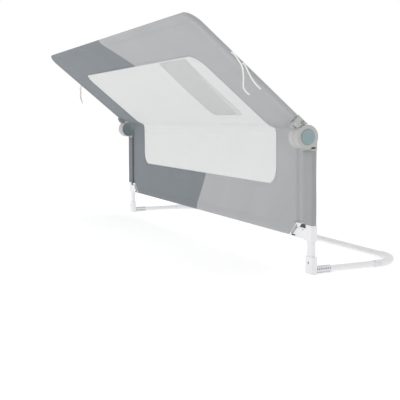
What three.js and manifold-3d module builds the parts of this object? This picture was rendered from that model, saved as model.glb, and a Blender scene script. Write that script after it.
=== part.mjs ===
// A folding guard rail for a bed: a fabric-covered tube frame in two hinged halves
// on two short posts, held by a flat U-shaped base that slides under the mattress.
// Lengths are millimetres. X runs along the rail, +Y points to the mattress and +Z up.
// Every piece that comes in a pair is built at the left end and mirrored for the right end.

import * as THREE from 'three';
import { mergeVertices } from 'three/addons/utils/BufferGeometryUtils.js';
import Module from 'manifold-3d';

const wasm = await Module();
wasm.setup();

// Whole rail
const railLength = 1200;
const axisHeight = 290;
const panelReach = 359.5;
const tiltDegrees = 50;

// Fits shared by every piece
const clearance = 0.3;
const overrun = 2;
const bite = 0.2;
const seamGap = 1;

// Panels, measured behind the hinge axis
const panelFront = 12.9;
const coverWall = 1.2;
const coverInset = 5;
const coverCornerRadius = 38;
const coverEdgeRadius = 2;
const coverBottom = 71.6;

// Tubes inside the panels
const frameTubeWidth = 16;
const frameTubeDepth = 6;
const frameTubeWall = 1.2;
const frameJointInset = 100;
const frameJointLength = 30;
const lowerTubeWidth = 14;
const lowerTubeRaise = 5.4;
const lowerTubeEnd = 60;

// Mesh window, reached over the fold, and the pocket behind it
const windowWidth = 886;
const windowTop = 253;
const windowDrop = 111;
const windowCornerRadius = 38;
const meshSetback = 0.1;
const meshThickness = 1;
const pocketLeft = 213;
const pocketRight = 375;
const pocketFoot = 56;
const pocketTop = 248;
const pocketCornerRadius = 14;
const pocketThickness = 1;

// Curved edge between the dark and the light cloth
const tintRadius = 470;
const tintCentreX = -377;
const tintCentreRise = 72;

// Lower corners of the upper cover, cut back round the hinge
const reliefWidth = 50;
const reliefHigh = 45.5;
const reliefLow = 28;
const reliefGap = 0.8;

// Posts and their padded sleeves
const sleeveWidth = 38;
const sleeveFront = 10.1;
const sleeveDepth = 12.3;
const sleeveBottom = 104.2;
const sleeveCornerRadius = 3;
const postTubeWidth = 28;
const postTubeDepth = 9.6;
const postTubeWall = 1.2;
const spigotLength = 30;
const grooveWidth = 29;
const grooveDepth = 3.5;

// Hinge barrel, split in an outer and an inner half
const barrelRadius = 25.5;
const barrelStep = 0.3;
const barrelChamfer = 0.8;
const outerHalfLength = 18.5;
const barrelGap = 1;
const housingDrop = 29;
const housingWall = 2.5;
const cradleGap = 0.7;
const cradleTop = 14;
const slotWidth = 10.2;
const slotHeight = 4.4;
const slotDepth = 9;
const slotFront = 8.5;
const slotDrop = 23.2;
const cheekThickness = 3;
const cheekDepth = 5.2;
const cheekTop = 19;
const cheekRadius = 2.5;

// Push button, its pins and the lock gear
const buttonRadius = 16.3;
const buttonProud = 2;
const buttonFace = 2;
const buttonSkirt = 2;
const buttonTravel = 4;
const buttonEdge = 0.8;
const pinRadius = 2;
const pinCircleRadius = 11.5;
const pinCount = 3;
const gearTipRadius = 20;
const gearRootRadius = 17.5;
const gearThickness = 5;
const gearTeeth = 12;
const gearRunning = 1;
const toothShares = [0, 0.35, 0.5, 0.85];
const flankSlackShare = 1.5;

// Axle, spring and inner cap
const axleRadius = 3.8;
const axleHeadRadius = 6;
const axleHeadLength = 2;
const webThickness = 3;
const capRadius = 22;
const capRecess = 5;
const capSink = 0.6;
const springRadius = 10;
const springWire = 1.2;
const springCurls = 2.5;
const springSteps = 8;

// Upper hinge arm, measured up the panel from the axis
const armInset = 4;
const armBack = 22;
const armFront = 10.2;
const armBulgeFront = 3;
const armBulgeTop = 36;
const armShoulder = 46;
const armOuterFoot = 15;
const armRunning = 0.9;
const armTop = 60;
const socketFoot = 34.3;
const armSpigotLength = 26;
const frontScrewInset = 18.5;
const frontScrewRise = 29;
const frontScrewRadius = 2.2;
const frontScrewLength = 8;
const frontHoleRadius = 3.4;
const frontHoleDepth = 3;
const sideScrewRise = 27.5;
const sideScrewRadius = 2.7;
const sideScrewLength = 8;
const sideHoleRadius = 4.2;
const sideHoleDepth = 1.8;
const screwSink = 0.5;

// Corner bracket that joins post, lower tube and leg
const bracketFront = 10.5;
const bracketBack = 25.7;
const bracketOuter = 4;
const bracketLip = 2;
const bracketFoot = 70;
const bracketBottom = 72.2;
const bracketFillet = 4;
const bracketGap = 0.7;
const diagonalTopInset = 60.5;
const diagonalTopHeight = 107;
const diagonalFootInset = 97;
const catchInset = 25.2;
const catchSetback = 21.2;
const catchFloor = 95.8;
const catchDepth = 7.5;
const catchSink = 1.4;
const catchHeight = 7.5;
const ribCount = 10;
const ribThickness = 1.6;
const ribLength = 7;
const ribProud = 1.2;
const ribOffset = 5;
const bracketScrewInset = 37;
const bracketScrewHeight = 91.7;
const bracketScrewRadius = 1.8;
const bracketScrewLength = 5;
const bracketScrewSink = 2;
const notchInset = 74.7;
const notchHeight = 75.6;
const notchLength = 15;
const notchWidth = 2.8;
const notchDepth = 3;

// Legs and feet
const legInset = 17.8;
const legWidth = 24;
const legDepth = 10.4;
const legCentre = 19.4;
const legWall = 1.2;
const legRoof = 92;
const legSeat = 18;
const footOuter = 2;
const footWidth = 30;
const footFront = 12.7;
const footDepth = 13;
const footHeight = 36.5;
const footCornerRadius = 3;
const footScrewInset = 18.5;
const footScrewHeight = 23.2;
const footScrewHeadRadius = 2.6;
const footScrewHeadLength = 1.1;
const footScrewShankRadius = 1.4;
const footScrewLength = 5;

// Flat base
const baseTubeRadius = 6.5;
const baseTubeWall = 1.2;
const baseArmInset = 15;
const baseDepth = 266;
const armSeat = 17.5;
const cornerRadius = 78;
const cornerStraight = 6;
const cornerOuterRadius = 7.7;
const swageRadius = 5.4;
const swageLength = 15;
const cornerButtonBeyond = 5;
const cornerButtonLength = 12;
const cornerButtonHeight = 6;
const cornerButtonProud = 0.5;
const gripRadius = 8;
const gripFront = 26.2;
const gripLength = 38.5;
const gripGroove = 0.8;
const gripRibs = 8;

// Drawcords
const cordRadius = 1.5;
const cordSides = 8;

// Fineness of round shapes
const barrelSides = 36;
const boreSides = 24;
const pinSides = 12;
const springSides = 5;
const baseSides = 16;
const cornerSteps = 3;
const bendSteps = 6;
const wideBendSteps = 9;
const tintSteps = 20;

// Cord routes as offsets from where each leaves the cover, outward, to the mattress and up
const rightUpperRoute = [
  [0, 0, 0], [3, 0, 0], [7, 3, -4], [8, 6.9, -9], [8, 10.6, -14.2], [8, 14.4, -19.3], [8, 18.1, -24.4],
  [8, 20.6, -30.3], [8, 21.7, -36.6], [8, 22.1, -42.9], [8, 22.3, -49.3], [8, 22.4, -55.6],
  [8, 22, -62], [8, 22.2, -68.4], [8, 25.3, -73.9], [8, 29.8, -78.4], [8, 35, -82.1],
];
const rightLowerRoute = [
  [0, 0, 0], [3, 0, 0], [7, 1.5, -4], [8, 3.4, -8], [8, 5.6, -12], [8, 7.8, -16], [8, 10.1, -19.9],
  [8, 12.4, -23.8], [8, 14.7, -27.7], [8, 17.3, -31.5], [8, 20, -35.1], [8, 23, -38.5],
  [8, 26.2, -41.8], [8, 29.5, -44.9], [8, 32.9, -47.8], [8, 36.4, -50.7],
];
const leftUpperRoute = [
  [0, 0, 0], [3, 0, 0], [7, -1.5, -4], [7.9, -3.1, -8.5], [8, -4.2, -13.1], [8, -4.5, -17.9],
  [8, -3.9, -22.7], [8, -3.1, -27.4], [8, -3.2, -32.2], [8, -3.8, -37], [8, -3.9, -41.8],
  [8, -3.1, -46.5], [8, -2, -51.2], [8, -0.4, -55.7], [8, 1.6, -60.1], [8, 4.1, -64.2],
];
const leftLowerRoute = [
  [0, 0, 0], [3, 0, 0], [8, -1, -4], [10.1, -2.3, -7.6], [11.5, -3.3, -11.6], [12.5, -3.6, -15.9],
  [13.3, -3.4, -20.2], [14, -3, -24.5], [14.5, -2.8, -28.8], [14.9, -3, -33.1], [15, -3.1, -37.5],
  [15, -2.8, -41.8], [15, -2.2, -46.1], [15, -1.2, -50.4], [15, 0.1, -54.6], [15, 2, -58.5],
];
const rightUpperExit = 241;
const rightLowerExit = 209;
const leftUpperExit = 217;
const leftLowerExit = 212.5;

// Places that follow from the sizes above
const half = railLength / 2;
const frameCentre = panelFront + coverWall + clearance + frameTubeDepth / 2;
const channelDepth = frameTubeDepth + 2 * (clearance + coverWall);
const channelWidth = frameTubeWidth + 2 * (clearance + coverWall);
const sideTubeInset = coverInset + channelWidth / 2;
const topTubeReach = panelReach - channelWidth / 2;
const tubeBendRadius = coverCornerRadius - channelWidth / 2;
const webBack = panelFront + coverWall;
const meshFront = panelFront + meshSetback;
const meshBack = meshFront + meshThickness;
const panelInset = sleeveWidth + grooveWidth;
const grooveFront = panelFront + grooveDepth;
const sleeveBack = sleeveFront + sleeveDepth;
const sleeveTop = axisHeight - housingDrop - clearance;
const postCentre = sleeveFront + sleeveDepth / 2;
const lowerTubeFoot = coverBottom + lowerTubeRaise;
const lowerTubeTop = lowerTubeFoot + lowerTubeWidth;
const wallOuter = buttonTravel + buttonFace - buttonProud + clearance + axleHeadLength + clearance;
const wallInner = wallOuter + housingWall;
const innerHalfStart = outerHalfLength + barrelGap;
const gearStart = outerHalfLength - gearThickness / 2;
const gearEnd = gearStart + gearThickness;
const webEnd = sleeveWidth - capRecess;
const webStart = webEnd - webThickness;
const axleBoreRadius = axleRadius + clearance;
const innerRadius = barrelRadius - barrelStep;
const reliefSlope = (reliefHigh - reliefLow) / (reliefWidth - coverInset);
const diagonalSlope = (diagonalTopHeight - coverBottom) / (diagonalFootInset - diagonalTopInset);
const footBack = footFront + footDepth;
const cornerStart = baseDepth - cornerRadius;
const baseHeight = gripRadius;

const plastic = (color, roughness) => new THREE.MeshStandardMaterial({ color, roughness, metalness: 0 });
const metal = (color, roughness) => new THREE.MeshStandardMaterial({ color, roughness, metalness: 1 });
const materials = {
  darkCloth: plastic(0x858c94, 0.95),
  lightCloth: plastic(0xb4b6b7, 0.95),
  mesh: plastic(0xe3e7e6, 0.9),
  pocket: plastic(0xd1d1d1, 0.95),
  white: plastic(0xebebee, 0.45),
  hinge: plastic(0xb8bcbe, 0.5),
  teal: plastic(0x8ca0a3, 0.5),
  rubber: plastic(0x6a6d70, 0.85),
  dark: plastic(0x33363a, 0.6),
  cord: plastic(0xe6e6e4, 0.9),
  aluminium: metal(0xc9ccce, 0.4),
  whiteSteel: plastic(0xe8e8ea, 0.4),
  steel: metal(0x9a9da0, 0.35),
};

// Outlines

const point = (x, y) => new THREE.Vector2(x, y);

function arc(centreX, centreY, radius, from, to, steps) {
  return Array.from({ length: steps + 1 }, (_, i) => {
    const angle = THREE.MathUtils.degToRad(from + ((to - from) * i) / steps);
    return point(centreX + radius * Math.cos(angle), centreY + radius * Math.sin(angle));
  });
}

const circle = (x, y, radius, sides) => arc(x, y, radius, 0, 360 - 360 / sides, sides - 1);

function roundedBox(left, low, right, high, radius, steps = cornerSteps) {
  return [
    ...arc(right - radius, low + radius, radius, -90, 0, steps),
    ...arc(right - radius, high - radius, radius, 0, 90, steps),
    ...arc(left + radius, high - radius, radius, 90, 180, steps),
    ...arc(left + radius, low + radius, radius, 180, 270, steps),
  ];
}

function flatOval(x, y, width, depth) {
  const radius = Math.min(width, depth) / 2;
  return roundedBox(x - width / 2, y - depth / 2, x + width / 2, y + depth / 2, radius);
}

function distinct(points) {
  const apart = (a, b) => a.distanceTo(b) > Number.EPSILON * railLength;
  return points.filter((here, i) => apart(here, points[(i + points.length - 1) % points.length]));
}

function outline(points, ...holes) {
  const shape = new THREE.Shape(distinct(points));
  shape.holes = holes.map((hole) => new THREE.Path(distinct(hole)));
  return shape;
}

function toothedOutline(slack) {
  const pitch = (2 * Math.PI * gearRootRadius) / gearTeeth;
  const shift = (slack * flankSlackShare) / pitch;
  const shifts = [shift, -shift, -shift, shift];
  const radii = [gearRootRadius, gearRootRadius, gearTipRadius, gearTipRadius];
  return Array.from({ length: gearTeeth * toothShares.length }, (_, i) => {
    const corner = i % toothShares.length;
    const tooth = (i - corner) / toothShares.length;
    const angle = (2 * Math.PI * (tooth + toothShares[corner] + shifts[corner])) / gearTeeth;
    const radius = radii[corner] + slack;
    return point(radius * Math.cos(angle), radius * Math.sin(angle));
  });
}

// Solids

function solidOf(geometry) {
  const bare = geometry.clone();
  bare.deleteAttribute('normal');
  bare.deleteAttribute('uv');
  const merged = mergeVertices(bare);
  const corners = Array.from(merged.index.array);
  const triVerts = [];
  for (let i = 0; i < corners.length; i += 3) {
    const triangle = corners.slice(i, i + 3);
    if (new Set(triangle).size === triangle.length) triVerts.push(...triangle);
  }
  return new wasm.Manifold(new wasm.Mesh({
    numProp: 3,
    vertProperties: Float32Array.from(merged.attributes.position.array),
    triVerts: Uint32Array.from(triVerts),
  }));
}

function geometryOf(solid) {
  const { vertProperties, triVerts } = solid.getMesh();
  const geometry = new THREE.BufferGeometry();
  geometry.setAttribute('position', new THREE.BufferAttribute(vertProperties, 3));
  geometry.setIndex(new THREE.BufferAttribute(triVerts, 1));
  geometry.computeVertexNormals();
  return geometry;
}

function extruded(shape, length) {
  return new THREE.ExtrudeGeometry(shape, { depth: length, bevelEnabled: false });
}

// An outline in (x, z) made solid from the front depth to the back depth.
function slab(shape, front, back) {
  return solidOf(extruded(shape, back - front).rotateX(Math.PI / 2).translate(0, back, 0));
}

// An outline in (y, z) made solid between two distances inward from the left end.
function bar(shape, from, to) {
  const turn = new THREE.Matrix4().makeBasis(
    new THREE.Vector3(0, 1, 0), new THREE.Vector3(0, 0, 1), new THREE.Vector3(1, 0, 0));
  return solidOf(extruded(shape, to - from).applyMatrix4(turn).translate(from - half, 0, 0));
}

// An outline in (x, y) made solid between two heights.
function column(shape, low, high) {
  return solidOf(extruded(shape, high - low).translate(0, 0, low));
}

// A round peg or hole along Y, its place given as the inset from the left end and the height.
function peg(inset, height, radius, front, back, sides = pinSides) {
  return slab(outline(circle(inset - half, height, radius, sides)), front, back);
}

function box(fromInset, toInset, front, back, low, high) {
  return slab(outline([
    point(fromInset - half, low), point(toInset - half, low),
    point(toInset - half, high), point(fromInset - half, high),
  ]), front, back);
}

// A profile of (radius, inset) pairs turned about the hinge axis.
function turned(profile, sides) {
  const points = profile.map(([radius, inset]) => point(radius, inset));
  return solidOf(new THREE.LatheGeometry(points, sides).rotateZ(-Math.PI / 2).translate(-half, 0, 0));
}

// A path through given points, with one step of the sweep at each point.
class Route extends THREE.Curve {
  constructor(points) {
    super();
    this.points = points;
  }

  getPoint(share, target = new THREE.Vector3()) {
    const place = share * (this.points.length - 1);
    const index = Math.min(Math.floor(place), this.points.length - 2);
    return target.lerpVectors(this.points[index], this.points[index + 1], place - index);
  }

  getPointAt(share, target) {
    return this.getPoint(share, target);
  }

  getTangentAt(share, target = new THREE.Vector3()) {
    const index = Math.round(share * (this.points.length - 1));
    const before = this.points[Math.max(index - 1, 0)];
    const after = this.points[Math.min(index + 1, this.points.length - 1)];
    return target.subVectors(after, before).normalize();
  }
}

function swept(section, points) {
  return solidOf(new THREE.ExtrudeGeometry(section, {
    steps: points.length - 1, extrudePath: new Route(points), bevelEnabled: false,
  }));
}

function mirrored(geometry) {
  const flipped = geometry.clone().applyMatrix4(new THREE.Matrix4().makeScale(-1, 1, 1));
  flipped.setIndex(Array.from(flipped.index.array).reverse());
  flipped.computeVertexNormals();
  return flipped;
}

function addPiece(group, name, geometry, material) {
  const mesh = new THREE.Mesh(geometry, material);
  mesh.name = name;
  group.add(mesh);
}

function addSolid(group, name, solid, material) {
  addPiece(group, name, geometryOf(solid), material);
}

function addPair(group, name, solid, material) {
  const left = geometryOf(solid);
  addPiece(group, `${name}_left`, left, material);
  addPiece(group, `${name}_right`, mirrored(left), material);
}

const minus = (solid, ...cuts) => cuts.reduce((rest, cut) => rest.subtract(cut), solid);
const joined = (solid, ...others) => others.reduce((whole, other) => whole.add(other), solid);

// Two-tone split of the cloth, for a panel whose hinge axis lies at the given height

function tintEdge(radius, height) {
  const reach = Math.asin(Math.min(1, (panelReach + axisHeight) / 2 / tintRadius));
  const degrees = THREE.MathUtils.radToDeg(reach);
  return arc(tintCentreX, height + tintCentreRise, radius, -degrees, degrees, tintSteps);
}

function tintRegion(height, isDark) {
  const radius = isDark ? tintRadius - clearance / 2 : tintRadius + clearance / 2;
  const side = isDark ? -half - overrun : half + overrun;
  const edge = tintEdge(radius, height);
  const [first, last] = [edge[0], edge[edge.length - 1]];
  const far = [point(side, last.y), point(side, first.y)];
  const points = isDark ? [...edge, ...far] : [...far, ...edge].reverse();
  return slab(outline(points), -barrelRadius, armBack + barrelRadius);
}

// Upper frame

function frameSide(foot) {
  const x = sideTubeInset - half;
  const bend = arc(x + tubeBendRadius, topTubeReach - tubeBendRadius, tubeBendRadius, 180, 90, bendSteps);
  return [point(x, foot), ...bend].map((p) => new THREE.Vector3(p.x, frameCentre, p.y));
}

function frameLoop(foot) {
  const left = frameSide(foot);
  const right = left.map((p) => new THREE.Vector3(-p.x, p.y, p.z)).reverse();
  return [...left, ...right];
}

const tubeSection = (width, depth, grow) => flatOval(0, 0, depth + 2 * grow, width + 2 * grow);

function upperSideTube() {
  const end = new THREE.Vector3(frameJointInset - half, frameCentre, topTubeReach);
  const ring = outline(
    tubeSection(frameTubeWidth, frameTubeDepth, 0),
    tubeSection(frameTubeWidth, frameTubeDepth, -frameTubeWall));
  const tube = swept(ring, [...frameSide(socketFoot + clearance), end]);
  const plug = (grow) => outline(flatOval(
    frameCentre, topTubeReach, frameTubeDepth + 2 * grow, frameTubeWidth + 2 * grow));
  const root = bar(plug(bite - frameTubeWall), frameJointInset - frameTubeWidth, frameJointInset);
  const tongue = bar(
    plug(-frameTubeWall - clearance), frameJointInset - bite, frameJointInset + frameJointLength);
  return joined(tube, root, tongue);
}

function upperMiddleTube() {
  const ring = outline(
    flatOval(frameCentre, topTubeReach, frameTubeDepth, frameTubeWidth),
    flatOval(frameCentre, topTubeReach,
      frameTubeDepth - 2 * frameTubeWall, frameTubeWidth - 2 * frameTubeWall));
  const start = frameJointInset + clearance;
  return bar(ring, start, railLength - start);
}

function reliefCut() {
  const rise = (inset) => reliefHigh + reliefSlope * (coverInset - inset);
  return slab(outline([
    point(-half - overrun, -overrun), point(reliefWidth - half, -overrun),
    point(reliefWidth - half, reliefLow), point(-half - overrun, rise(-overrun)),
  ]), -overrun, armBack + overrun);
}

function windowOutline(low, high, side, roundHigh, radius) {
  const flat = [point(side, roundHigh ? low : high), point(-side, roundHigh ? low : high)];
  const corners = roundHigh
    ? [...arc(side - radius, high - radius, radius, 0, 90, bendSteps),
      ...arc(radius - side, high - radius, radius, 90, 180, bendSteps)]
    : [...arc(radius - side, low + radius, radius, 180, 270, bendSteps),
      ...arc(side - radius, low + radius, radius, 270, 360, bendSteps)];
  return roundHigh ? [flat[1], flat[0], ...corners] : [flat[1], ...corners, flat[0]];
}

function upperCover() {
  const side = half - coverInset;
  const corner = coverCornerRadius;
  const web = slab(outline([
    point(-side, seamGap / 2), point(side, seamGap / 2),
    ...arc(side - corner, panelReach - corner, corner, 0, 90, bendSteps),
    ...arc(corner - side, panelReach - corner, corner, 90, 180, bendSteps),
  ]), panelFront, webBack);
  const channelHalf = { x: channelDepth / 2, y: channelWidth / 2 };
  const channel = swept(outline(roundedBox(
    -channelHalf.x, -channelHalf.y, channelHalf.x, channelHalf.y, coverEdgeRadius)), frameLoop(seamGap));
  const bore = swept(
    outline(tubeSection(frameTubeWidth, frameTubeDepth, clearance)), frameLoop(-overrun));
  const pane = slab(
    outline(windowOutline(-overrun, windowTop, windowWidth / 2, true, windowCornerRadius)),
    panelFront - overrun, webBack + overrun);
  const relief = reliefCut();
  return minus(joined(web, channel), bore, pane, relief, solidOf(mirrored(geometryOf(relief))));
}

function addUpperCover(group) {
  const cover = upperCover();
  addSolid(group, 'upper_cover_dark', cover.intersect(tintRegion(0, true)), materials.darkCloth);
  addSolid(group, 'upper_cover_light', cover.intersect(tintRegion(0, false)), materials.lightCloth);
}

function addWindow(group, name, low, high, roundHigh) {
  const side = windowWidth / 2 - clearance;
  const radius = windowCornerRadius - clearance;
  const shape = outline(windowOutline(low, high, side, roundHigh, radius));
  addSolid(group, name, slab(shape, meshFront, meshBack), materials.mesh);
}

function addPocket(group) {
  const radius = pocketCornerRadius;
  const shape = outline([
    point(pocketLeft, pocketTop),
    ...arc(pocketLeft + radius, pocketFoot + radius, radius, 180, 270, cornerSteps),
    ...arc(pocketRight - radius, pocketFoot + radius, radius, 270, 360, cornerSteps),
    point(pocketRight, pocketTop),
  ]);
  const front = meshBack + clearance;
  addSolid(group, 'pocket', slab(shape, front, front + pocketThickness), materials.pocket);
}

// Hinge

const ringProfile = (radius, from, to) => [
  [0, from], [radius - barrelChamfer, from], [radius, from + barrelChamfer],
  [radius, to - barrelChamfer], [radius - barrelChamfer, to], [0, to],
];

const shaftProfile = (radius, from, to) => [[0, from], [radius, from], [radius, to], [0, to]];

// The outline that fills a flat tube from inside, with the usual clearance.
function tubeFilling(inset, centre, width, depth, wall) {
  const gap = 2 * (wall + clearance);
  return outline(flatOval(inset - half, centre, width - gap, depth - gap));
}

function armProfile(foot) {
  return outline([
    point(foot > 0 ? armBulgeFront : 0, foot), point(armBack, foot), point(armBack, armTop),
    point(armFront, armTop), point(armFront, armShoulder), point(armBulgeFront, armBulgeTop),
  ]);
}

function armCutTop() {
  const rise = (inset) => reliefHigh + reliefSlope * (coverInset - inset) - reliefGap;
  return slab(outline([
    point(-half - overrun, rise(-overrun)), point(sleeveWidth + overrun - half, rise(sleeveWidth + overrun)),
    point(sleeveWidth + overrun - half, armTop + overrun), point(-half - overrun, armTop + overrun),
  ]), -barrelRadius, armBack + overrun);
}

function upperArm() {
  const barrel = turned(ringProfile(innerRadius, innerHalfStart, sleeveWidth), barrelSides);
  const innerBlock = bar(armProfile(0), innerHalfStart, sleeveWidth);
  const outerBlock = bar(armProfile(armOuterFoot), armInset, innerHalfStart + bite)
    .subtract(turned(shaftProfile(barrelRadius + armRunning, -overrun, innerHalfStart), barrelSides));
  const spigot = column(
    tubeFilling(sideTubeInset, frameCentre, frameTubeWidth, frameTubeDepth, frameTubeWall),
    socketFoot - bite, socketFoot + armSpigotLength);
  const sideHole = (radius, depth) => bar(
    outline(circle(postCentre, sideScrewRise, radius, pinSides)), armInset - overrun, armInset + depth);
  const cuts = [
    turned(shaftProfile(gearTipRadius + gearRunning, innerHalfStart - overrun, webStart), boreSides),
    turned(shaftProfile(axleBoreRadius, webStart - overrun, webEnd + overrun), pinSides),
    turned(shaftProfile(capRadius + clearance, webEnd, sleeveWidth + overrun), boreSides),
    column(outline(flatOval(
      sideTubeInset - half, frameCentre,
      frameTubeWidth + 2 * clearance, frameTubeDepth + 2 * clearance)), socketFoot, armTop + overrun),
    peg(frontScrewInset, frontScrewRise, frontScrewRadius + clearance,
      armBulgeFront - overrun, armBulgeFront + frontHoleDepth / 2 + frontScrewLength + clearance),
    peg(frontScrewInset, frontScrewRise, frontHoleRadius,
      armBulgeFront - overrun, armBulgeFront + frontHoleDepth),
    sideHole(sideScrewRadius + clearance, screwSink + sideScrewLength + clearance),
    sideHole(sideHoleRadius, sideHoleDepth),
    armCutTop(),
  ];
  return minus(joined(barrel, innerBlock, outerBlock), ...cuts).add(spigot);
}

function lowerHousing() {
  const barrel = turned(ringProfile(barrelRadius, 0, outerHalfLength), barrelSides);
  const outerBlock = box(0, outerHalfLength, sleeveFront, sleeveBack, -housingDrop, 0);
  const innerBlock = box(
    outerHalfLength - bite, sleeveWidth, sleeveFront, sleeveBack, -housingDrop, -cradleTop);
  const cradle = turned(
    shaftProfile(innerRadius + cradleGap, outerHalfLength, sleeveWidth + overrun), barrelSides);
  const spigot = column(
    tubeFilling(sleeveWidth / 2, postCentre, postTubeWidth, postTubeDepth, postTubeWall),
    -housingDrop - spigotLength, bite - housingDrop);
  const pinHoles = pinPlaces().map(({ y, z }) => bar(
    outline(circle(y, z, pinRadius + clearance, pinSides)), wallOuter - overrun, wallInner + overrun));
  const cuts = [
    turned(shaftProfile(buttonRadius + clearance, -overrun, wallOuter), boreSides),
    turned(shaftProfile(axleBoreRadius, wallOuter - overrun, wallInner + overrun), pinSides),
    bar(outline(toothedOutline(clearance)), wallInner, outerHalfLength + overrun),
    box(-overrun, slotDepth, slotFront, slotFront + slotWidth,
      -slotDrop - slotHeight / 2, slotHeight / 2 - slotDrop),
    ...pinHoles,
  ];
  return minus(joined(barrel, outerBlock, innerBlock.subtract(cradle), spigot, housingCheek()), ...cuts);
}

// Narrow upright strip beside the inner end of the barrel, on a root below it.
function housingCheek() {
  const back = sleeveFront + cheekDepth;
  const end = sleeveWidth + clearance + cheekThickness;
  const strip = bar(outline([
    point(sleeveFront, -housingDrop), point(back, -housingDrop), point(back, cheekTop),
    ...arc(sleeveFront + cheekRadius, cheekTop - cheekRadius, cheekRadius, 90, 180, cornerSteps),
  ]), sleeveWidth + clearance, end);
  const root = box(
    sleeveWidth - bite, end, sleeveFront, back, -housingDrop, -innerRadius - cradleGap);
  return strip.add(root);
}

function pinPlaces() {
  return Array.from({ length: pinCount }, (_, i) => {
    const angle = (2 * Math.PI * i) / pinCount;
    return { y: pinCircleRadius * Math.cos(angle), z: pinCircleRadius * Math.sin(angle) };
  });
}

function pushButton() {
  const back = buttonFace - buttonProud;
  const skirtRadius = buttonRadius - buttonSkirt;
  return turned([
    [0, -buttonProud], [buttonRadius - buttonEdge, -buttonProud],
    [buttonRadius, buttonEdge - buttonProud], [buttonRadius, back + buttonSkirt],
    [skirtRadius, back + buttonSkirt], [skirtRadius, back], [0, back],
  ], boreSides);
}

function lockGear() {
  const gear = bar(outline(toothedOutline(0), circle(0, 0, axleBoreRadius, pinSides)), gearStart, gearEnd);
  const pinStart = buttonFace - buttonProud + clearance;
  const pins = pinPlaces().map(({ y, z }) => bar(
    outline(circle(y, z, pinRadius, pinSides)), pinStart, gearStart + bite));
  return joined(gear, ...pins);
}

function axle() {
  const headStart = wallOuter - clearance - axleHeadLength;
  return turned([
    [0, headStart], [axleHeadRadius, headStart], [axleHeadRadius, headStart + axleHeadLength],
    [axleRadius, headStart + axleHeadLength], [axleRadius, webEnd - clearance], [0, webEnd - clearance],
  ], pinSides);
}

function buttonSpring() {
  const from = gearEnd + clearance + springWire / 2;
  const to = webStart - clearance - springWire / 2;
  const count = springCurls * springSteps;
  const points = Array.from({ length: count + 1 }, (_, i) => {
    const angle = (2 * Math.PI * i) / springSteps;
    const inset = from + ((to - from) * i) / count;
    return new THREE.Vector3(inset - half, springRadius * Math.cos(angle), springRadius * Math.sin(angle));
  });
  return swept(outline(circle(0, 0, springWire / 2, springSides)), points);
}

function innerCap() {
  const start = webEnd + clearance;
  const end = sleeveWidth - capSink;
  return turned([
    [0, start], [capRadius, start], [capRadius, end - buttonEdge], [capRadius - buttonEdge, end], [0, end],
  ], boreSides);
}

function addRootHinge(group) {
  addPair(group, 'hinge_lower_housing', lowerHousing(), materials.hinge);
  addPair(group, 'hinge_axle', axle(), materials.steel);
  addPair(group, 'button_spring', buttonSpring(), materials.steel);
  addPair(group, 'hinge_button', pushButton(), materials.teal);
  addPair(group, 'lock_gear', lockGear(), materials.dark);
}

function addUpperHinge(group) {
  addPair(group, 'hinge_upper_arm', upperArm(), materials.hinge);
  addPair(group, 'hinge_inner_cap', innerCap(), materials.teal);
  const frontStart = armBulgeFront + frontHoleDepth / 2;
  const frontScrew = peg(
    frontScrewInset, frontScrewRise, frontScrewRadius, frontStart, frontStart + frontScrewLength);
  addPair(group, 'socket_front_screw', frontScrew, materials.steel);
  const sideScrew = bar(
    outline(circle(postCentre, sideScrewRise, sideScrewRadius, pinSides)),
    armInset + screwSink, armInset + screwSink + sideScrewLength);
  addPair(group, 'socket_side_screw', sideScrew, materials.steel);
}

// Posts, corner brackets, legs and feet

function postTube() {
  const centre = sleeveWidth / 2 - half;
  return column(outline(
    flatOval(centre, postCentre, postTubeWidth, postTubeDepth),
    flatOval(centre, postCentre, postTubeWidth - 2 * postTubeWall, postTubeDepth - 2 * postTubeWall),
  ), sleeveBottom, sleeveTop);
}

const diagonalHeight = (inset) => coverBottom + diagonalSlope * (diagonalFootInset - inset);
const diagonalInset = (height) => diagonalFootInset - (height - coverBottom) / diagonalSlope;

function bracketOutline(top) {
  const legInner = legInset + legWidth / 2 + bracketLip;
  return [
    point(bracketOuter - half, bracketFoot), point(legInner - half, bracketFoot),
    point(legInner + bracketFillet - half, bracketBottom),
    point(diagonalInset(bracketBottom) - bracketGap - half, bracketBottom),
    point(diagonalInset(top) - bracketGap - half, top), point(bracketOuter - half, top),
  ];
}

// Short ridges side by side on the front face, along the cover's slanted edge.
function bracketRibs(top) {
  const start = point(diagonalInset(top), top);
  const low = bracketBottom + ribLength;
  const end = point(diagonalInset(low), low);
  const along = end.clone().sub(start).normalize();
  const across = point(along.y, -along.x).negate();
  const reach = start.distanceTo(end);
  return Array.from({ length: ribCount }, (_, i) => {
    const centre = start.clone().addScaledVector(along, (reach * (i + 1)) / (ribCount + 1));
    centre.addScaledVector(across, -ribOffset - bracketGap);
    const corners = [[-1, -1], [1, -1], [1, 1], [-1, 1]].map(([a, b]) => centre.clone()
      .addScaledVector(along, (a * ribThickness) / 2).addScaledVector(across, (b * ribLength) / 2));
    return slab(outline(corners.map((p) => point(p.x - half, p.y))),
      bracketFront - ribProud, bracketFront + bite);
  });
}

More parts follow.
